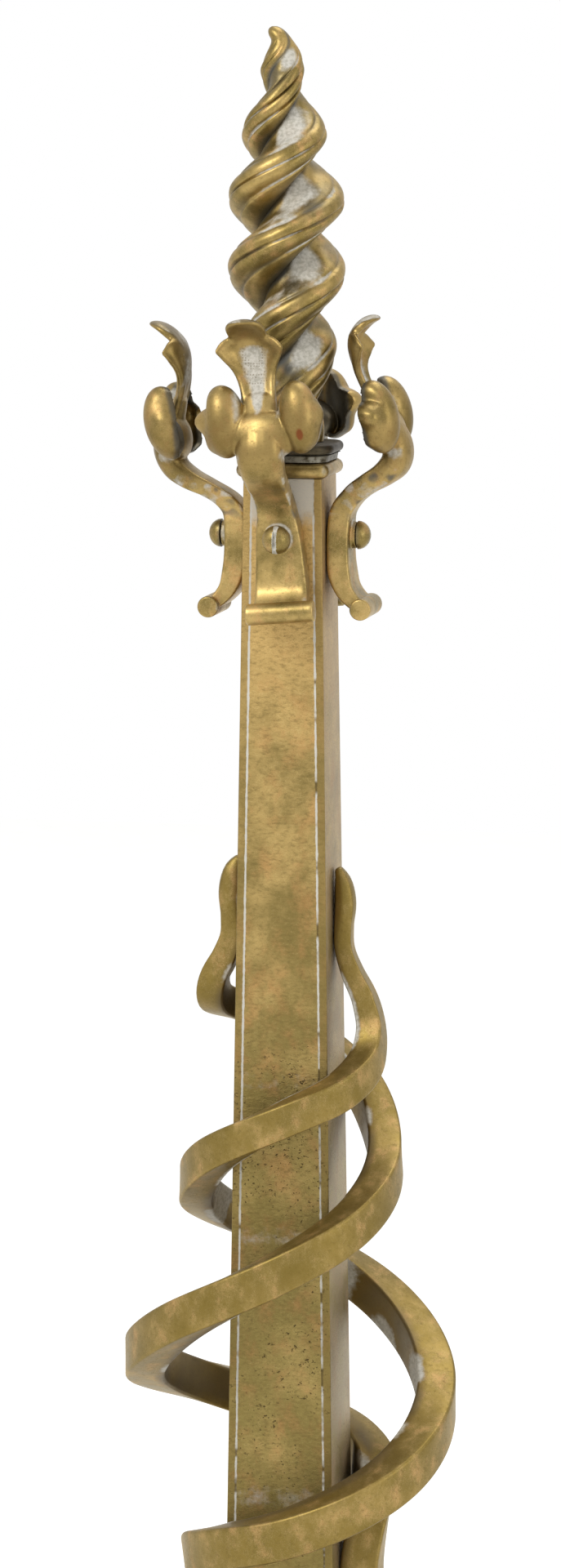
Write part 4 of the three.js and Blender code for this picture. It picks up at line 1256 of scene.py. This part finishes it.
def tendrils():
    tendril("wound_bar_right", RIGHT_TENDRIL, "tendril_right", -1)
    tendril("wound_bar_left", LEFT_TENDRIL, "tendril_left", 1)
    half = column_half(TENDRIL_SCREW_HEIGHT)
    seat = half + GAP + TENDRIL_THICKNESS + GAP
    screw = shifted(domed_screw(seat, half - PLATE - SCREW_PAST_PLATE, 20), z=TENDRIL_SCREW_HEIGHT)
    hand_in_copies([(screw, "lower_screw", "tendril_screw", TURNED, "screw_brass", 40)], LEFT_AND_RIGHT)


tendrils()


# ---- Collar, block and front legs ----

SHANK = 4.0
BOLT_HOLE = SHANK + GAP
BOLT_HEAD = 6.5
BOLT_HEAD_HEIGHT = 4.2
COLLAR_HOLLOW = 11                 # height of the collar's hollow moulding above its foot
LEG_BOLT_HEIGHT = 57.0
LEG_BOLT_TIP = 32.0
LEG_BOLT_SHANK = 3.9
FRONT_PAD_RADIUS = 16
FRONT_PAD_OUT = 83                 # from the middle of the leg's upper part
REAR_PAD_RADIUS = 20
TENON_HALF = 9.0
STOP_SEAT_DEPTH = 0.8
STOP_FOOT_HALF = (11, 6)
STOP_TOP_HALF = (8, 5)
REAR_FOOT_HALF = 14
REAR_TOP_HALF = 11
RIVET_HEAD = 7
ROD_RADIUS = 4.75
ROD_HOLE = 5.05
WASHER_RADIUS = 12
NUT_RADIUS = 9.2
BILLET_BOLT_PLACE = 21.0
BILLET_BOLT_REACH = 24.0


def turned_block(name, low, high, corner, profile):
    """A cast block with a moulded outline, given its two corners from the axis."""
    half = (high - low) / 2
    return moulded(name, half[0], half[1], corner, [(low[2] + rise, inset) for rise, inset in profile])


def hex_bolt(name, seat, tip, shank):
    """A bolt along +X whose head stands on seat: worn hexagon head with a chamfered face."""
    head = rod("head", BOLT_HEAD, (seat, 0, 0), (seat + BOLT_HEAD_HEIGHT, 0, 0), 6)
    bevel_all(head, 0.55, segments=3, angle=30)
    stem = rod("stem", shank, (tip, 0, 0), (seat + STEM_OVERLAP, 0, 0), 32)
    bevel_all(stem, 0.4, angle=50)
    bolt = join(name, [head, stem])
    place = points_of(bolt)
    mask(bolt, "dark", bump_at(place[:, 0], seat, 0.8) * 0.6)
    return bolt


def along_z(piece):
    """Turns a piece that lies along +X so that it points down."""
    place = points_of(piece)
    move_points(piece, np.stack([place[:, 2], place[:, 1], -place[:, 0]], axis=1))
    return piece


def collar():
    low, high = node_box("base_collar")
    profile = [
        (0, 1.0), (0.5, 0.3), (1.2, 0), (9.0, 0), (9.6, 0.5), (10.0, 1.5), (10.8, 1.9), (12.0, 1.9),
        (12.7, 1.5), (13.2, 0.6), (14.2, 0.1), (15.6, 0), (18.0, 0), (19.6, 0.4), (20.9, 1.2), (21.7, 2.2),
        (22.0, 3.2),
    ]
    piece = turned_block("moulded_collar", low, high, 4, profile)
    half = column_half(BLOCK_HIGH[2]) + GAP
    reach, bar_half = half + TENDRIL_THICKNESS + GAP, TENDRIL_WIDTH / 2 + GAP
    for x, y in ((half, half), (reach, bar_half)):
        cut_away(piece, block("hole", (-x, -y, low[2] - THROUGH), (x, y, high[2] + THROUGH)))
    place = points_of(piece)
    patch = patchy(place, 0.06, 15)
    rise = place[:, 2] - low[2]
    mask(piece, "chalk", bump_at(rise, COLLAR_HOLLOW, 1.5) * smoothstep(patch, 0.4, 0.65) * 0.8
         + bump_at(rise, 0, 1.0) * 0.35)
    mask(piece, "dark", bump_at(rise, COLLAR_HOLLOW, 2.2) * smoothstep(patch, 0.6, 0.3) * 0.6)
    hand_in(piece, FOOT, "base_collar")


def base():
    low, high = BLOCK_LOW, BLOCK_HIGH
    socket_middle = (BAR_LOW[2] + BAR_HIGH[2]) / 2
    profile = [(0, 3.0), (0.3, 1.9), (1.1, 0.9), (3.0, 0)]
    profile += [(40 - rise, inset) for rise, inset in profile[::-1]]
    piece = turned_block("cast_block", low, high, 5, profile)
    drill_down(piece, ROD_HOLE, 0, low[2], high[2])
    half = TENON_HALF + GAP
    socket_low = (-half, BAR_LOW[1] - GAP, socket_middle - half)
    cut_away(piece, block("socket", socket_low, (half, high[1] + THROUGH, socket_middle + half)))
    drill(piece, BOLT_HOLE, (0, BILLET_BOLT_PLACE, low[2] - THROUGH), (0, BILLET_BOLT_PLACE, socket_middle))
    for way in (-1, 1):
        start, end = way * (LEG_BOLT_TIP - GAP), way * (high[0] + THROUGH)
        drill(piece, BOLT_HOLE, (start, 0, LEG_BOLT_HEIGHT), (end, 0, LEG_BOLT_HEIGHT))
    place = points_of(piece)
    patch = patchy(place, 0.045, 16)
    mask(piece, "chalk", bump_at(place[:, 2], high[2] - 1.0, 2.0) * smoothstep(patch, 0.45, 0.7) * 0.5)
    # the block darkens towards its foot
    mask(piece, "dark", smoothstep(place[:, 2], low[2] + 8, low[2]) * 0.5)
    hand_in(piece, FOOT, "base_block")


# S-curved legs: [from the leg's upper part, height above the pad's top, thickness, width]
LEG_NODES = [
    (0, 66, 13, 17), (0, 51, 13, 17), (0, 44, 13, 17), (1.8, 37, 13, 17), (8, 30, 13, 17),
    (19, 27.5, 12.8, 16.8), (33, 29.5, 12.4, 16.4), (46, 29.5, 12.0, 16.0), (57, 23, 11.6, 15.6),
    (65, 12.5, 11.2, 15.2), (75, 6.9, 10.8, 15.0), (87, 5.8, 10.2, 14.6), (96.6, 11.3, 9.2, 14.2),
    (97.6, 20.8, 8.0, 13.6), (91, 25.3, 6.6, 13.0),
]
CURL_PLACE = (89, 16)              # middle of the leg's end curl, from the same places


def legs():
    middle_line = BLOCK_HIGH[0] + GAP + LEG_THICKNESS / 2
    nodes = [(middle_line + x, 0, PAD_TOP + z, *size) for x, z, *size in LEG_NODES]

    leg = swept("curved_leg", nodes, lambda *line: -outward_in_side(*line), 150, 0.16, (1.2, 1.0))
    seat = middle_line + LEG_THICKNESS / 2 + GAP
    drill(leg, BOLT_HOLE, (20, 0, LEG_BOLT_HEIGHT), (seat + THROUGH, 0, LEG_BOLT_HEIGHT))
    place = points_of(leg)
    patch = patchy(place, 0.05, 21)
    out, rise = place[:, 0] - middle_line, place[:, 2] - PAD_TOP
    curl = bump_at(np.hypot(out - CURL_PLACE[0], rise - CURL_PLACE[1]), 4, 5)
    mask(leg, "chalk", curl * smoothstep(patch, 0.4, 0.65) * 0.6)
    # the leg darkens in patches in its end curl and towards its foot
    mask(leg, "dark", curl * smoothstep(patch, 0.6, 0.35) * 0.5 + smoothstep(rise, 4, 0) * 0.4)
    bolt = shifted(hex_bolt("bolt", seat, LEG_BOLT_TIP, LEG_BOLT_SHANK), z=LEG_BOLT_HEIGHT)
    pad = shifted(foot_pad("pad", FRONT_PAD_RADIUS), x=middle_line + FRONT_PAD_OUT)
    masters = [
        (leg, "curved_leg", "leg", FOOT, "leg_brass", 32),
        (bolt, "leg_fixing", "leg_bolt", TURNED, "screw_brass", 35),
        (pad, "round_pad", "foot_pad", FOOT, "leg_brass", 35),
    ]
    hand_in_copies(masters, LEFT_AND_RIGHT)


def foot_pad(name, radius):
    piece = rod(name, radius, (0, 0, 0), (0, 0, PAD_TOP), 72)
    bevel_edges(piece, edges_at(2, PAD_TOP), 1.5, 4)
    bevel_edges(piece, edges_at(2, 0), 0.4, 2)
    return piece


collar()
base()
legs()


# ---- Iron: billet bar, rear leg, log stop and tie rod ----

def iron_piece(piece, node, material=IRON):
    hand_in(piece, material, node, 30)


def worn(piece, amount, seed):
    """Hammer marks and wear: moves the surface a little in and out."""
    place = points_of(piece)
    normal = np.empty(len(place) * 3)
    piece.data.vertices.foreach_get("normal", normal)
    move_points(piece, place - normal.reshape(-1, 3) * amount * patchy(place, 0.09, seed)[:, None])


def tapered(name, low, high, foot, top):
    """A block whose foot and top have their own half widths [x, y]."""
    piece = block(name, (-1, -1, low), (1, 1, high))
    place = points_of(piece)
    half = np.where((place[:, 2] > (low + high) / 2)[:, None], top, foot)
    place[:, :2] *= half
    move_points(piece, place)
    return piece


def billet_bar():
    low, high = BAR_LOW, BAR_HIGH
    shoulder = BLOCK_HIGH[1] + GAP
    centre = (low[2] + high[2]) / 2
    piece = block("square_bar", (low[0], shoulder, low[2]), (high[0], high[1], high[2]))
    split_along(piece, 1, 60)
    bevel_all(piece, 1.4, segments=3, angle=60)
    worn(piece, 0.35, 31)
    stop, seat_half = STOP_PLACE, STOP_FOOT_HALF[1] + GAP
    seat_low = (-20, stop - seat_half, high[2] - STOP_SEAT_DEPTH)
    cut_away(piece, block("seat", seat_low, (20, stop + seat_half, high[2] + THROUGH)))
    for place in (REAR_PLACE, stop):
        drill_down(piece, BOLT_HOLE, place, low[2], high[2])
    tenon_low = (-TENON_HALF, low[1], centre - TENON_HALF)
    tenon = block("tenon", tenon_low, (TENON_HALF, shoulder + OVERLAP, centre + TENON_HALF))
    bevel_edges(tenon, edges_at(1, low[1]), 0.8, 2)
    drill_down(tenon, BOLT_HOLE, BILLET_BOLT_PLACE, low[2], high[2])
    iron_piece(join("square_bar", [piece, tenon]), "billet_bar")

    bolt = along_z(hex_bolt("tenon_bolt", 0, -BILLET_BOLT_REACH, SHANK))
    shifted(bolt, y=BILLET_BOLT_PLACE, z=BLOCK_LOW[2] - GAP)
    iron_piece(bolt, "billet_bolt", STEEL)


def rear_support():
    low, high = node_box("rear_leg")[:, 2]
    piece = tapered("iron_leg", low, high, REAR_FOOT_HALF, REAR_TOP_HALF)
    split_along(piece, 2, 12)
    bevel_all(piece, 1.4, segments=3, angle=60)
    worn(piece, 0.3, 33)
    rivet_low, rivet_high = node_box("rear_leg_rivet")[:, 2]
    drill(piece, BOLT_HOLE, (0, 0, rivet_low - GAP), (0, 0, high + THROUGH))
    iron_piece(shifted(piece, y=REAR_PLACE), "rear_leg")

    pad = shifted(foot_pad("iron_pad", REAR_PAD_RADIUS), y=REAR_PLACE)
    iron_piece(pad, "rear_foot_pad")

    seat = BAR_HIGH[2] + GAP
    head = round_head("rivet_head", RIVET_HEAD, seat, rivet_high - seat, 40, 24)
    stem = rod("stem", SHANK, (0, 0, rivet_low), (0, 0, seat + STEM_OVERLAP), 32)
    rivet = shifted(join("round_rivet", [head, stem]), y=REAR_PLACE)
    iron_piece(rivet, "rear_leg_rivet")


def log_stop():
    low, high = node_box("log_stop")[:, 2]
    bottom = BAR_HIGH[2] - STOP_SEAT_DEPTH + GAP
    piece = tapered("stop_lug", bottom, high, STOP_FOOT_HALF, STOP_TOP_HALF)
    split_along(piece, 2, 10)
    bevel_edges(piece, edges_at(2, high), 2.0, 4)
    bevel_all(piece, 0.9, segments=3, angle=50)
    worn(piece, 0.25, 35)
    pin = rod("pin", SHANK, (0, 0, low), (0, 0, bottom + PIN_OVERLAP), 32)
    iron_piece(shifted(join("stop_lug", [piece, pin]), y=STOP_PLACE), "log_stop")


def tie_rod():
    low, high = node_box("tie_rod")[:, 2]
    piece = rod("long_rod", ROD_RADIUS, (0, 0, low), (0, 0, high), 40)
    bevel_all(piece, 0.6, angle=50)
    iron_piece(piece, "tie_rod", ROD_IRON)

    for node, name, radius, sides, edge, segments, angle in (
            ("rod_washer", "flat_washer", WASHER_RADIUS, 64, 0.5, 2, 50),
            ("rod_nut", "hexagon_nut", NUT_RADIUS, 6, 0.6, 3, 30)):
        low, high = node_box(node)[:, 2]
        piece = rod(name, radius, (0, 0, low), (0, 0, high), sides)
        drill_down(piece, ROD_HOLE, 0, low, high)
        bevel_all(piece, edge, segments, angle)
        iron_piece(piece, node, STEEL)


billet_bar()
rear_support()
log_stop()
tie_rod()


# ---- Camera and light ----

AZIMUTH = math.radians(11.3)
TILT = math.radians(7.8)
AIM_HEIGHT = 486.1
AIM_ASIDE = -3.45
DISTANCE = 1980.0
PICTURE_HEIGHT = 1920
FOCAL_PIXELS = 6600
SENSOR = 36.0
WORLD_LIGHT = 0.62                 # how much of the white background lights the object
FLOOR_SIZE = 6.0
FLOOR_GLOW = 0.42                  # lifts the floor to white where the camera sees it
# [name, place, aim, width, height, watts], in metres
LAMPS = [
    ("key", (-0.9, -1.7, 1.9), (0, -0.15, 0.5), 0.9, 0.9, 26),
    ("fill", (1.6, -1.0, 1.0), (0, -0.15, 0.45), 0.8, 1.2, 8),
    ("top", (0.2, 0.5, 2.2), (0, -0.1, 0.4), 1.0, 1.0, 12),
]


def add_camera():
    right = Vector((math.cos(AZIMUTH), math.sin(AZIMUTH), 0))
    level = Vector((-math.sin(AZIMUTH), math.cos(AZIMUTH), 0))
    ahead = level * math.cos(TILT) - Vector((0, 0, math.sin(TILT)))
    aim = Vector(AXIS + [0, 0, AIM_HEIGHT]) + right * AIM_ASIDE
    camera = bpy.data.objects.new("camera", bpy.data.cameras.new("camera"))
    bpy.context.collection.objects.link(camera)
    up = right.cross(ahead)
    turn = Matrix((right, up, -ahead)).transposed()
    camera.matrix_world = Matrix.Translation((aim - ahead * DISTANCE) * MM) @ turn.to_4x4()
    camera.data.sensor_width = SENSOR
    camera.data.lens = SENSOR * FOCAL_PIXELS / PICTURE_HEIGHT
    camera.data.clip_end = 50
    bpy.context.scene.camera = camera


def add_lamp(name, place, aim, width, height, power):
    lamp = bpy.data.lights.new(name, "AREA")
    lamp.shape = "RECTANGLE"
    lamp.size = width
    lamp.size_y = height
    lamp.energy = power
    light = bpy.data.objects.new(name, lamp)
    bpy.context.collection.objects.link(light)
    light.location = place
    light.rotation_euler = (Vector(aim) - Vector(place)).to_track_quat("-Z", "Y").to_euler()


def seen_directly(tree):
    """1 to the camera, in reflections and through glass, and 0 to the light itself."""
    outputs = add_node(tree, "ShaderNodeLightPath").socket.node.outputs
    kinds = [Wire(tree, outputs[f"Is {kind} Ray"]) for kind in ("Camera", "Glossy", "Transmission")]
    return kinds[0].larger(kinds[1]).larger(kinds[2])


def add_world():
    world = bpy.data.worlds.new("studio")
    bpy.context.scene.world = world
    world.use_nodes = True
    tree = world.node_tree
    tree.nodes.clear()
    strength = seen_directly(tree) * (1.0 - WORLD_LIGHT) + WORLD_LIGHT
    back = add_node(tree, "ShaderNodeBackground", None, {"Color": (1, 1, 1, 1), "Strength": strength})
    add_node(tree, "ShaderNodeOutputWorld", None, {"Surface": back})


def add_floor():
    deselect()
    bpy.ops.mesh.primitive_plane_add(size=FLOOR_SIZE, location=(0, 0, 0))
    floor = named("floor")
    material = new_material("pale_floor")
    tree = material.node_tree
    place = add_node(tree, "ShaderNodeTexCoord", output="Object")
    texture = grain(tree, place, 40.0, 2.0)
    colour = blend_colour(tree, texture.ramp(0.3, 0.7) * 0.3, linear(238, 238, 236), linear(232, 232, 230))
    matt = add_node(tree, "ShaderNodeBsdfDiffuse", None, {"Color": colour})
    glow = add_node(tree, "ShaderNodeEmission", None, {"Color": (1, 1, 1, 1), "Strength": FLOOR_GLOW})
    lit = add_node(tree, "ShaderNodeAddShader", None, {0: matt, 1: glow})
    seen = seen_directly(tree)
    floor_look = add_node(tree, "ShaderNodeMixShader", None, {0: seen, 1: matt, 2: lit})
    add_node(tree, "ShaderNodeOutputMaterial", None, {"Surface": floor_look})
    floor.data.materials.append(material)


bpy.context.scene.view_settings.view_transform = "Standard"
add_camera()
add_world()
add_floor()
for lamp in LAMPS:
    add_lamp(*lamp)
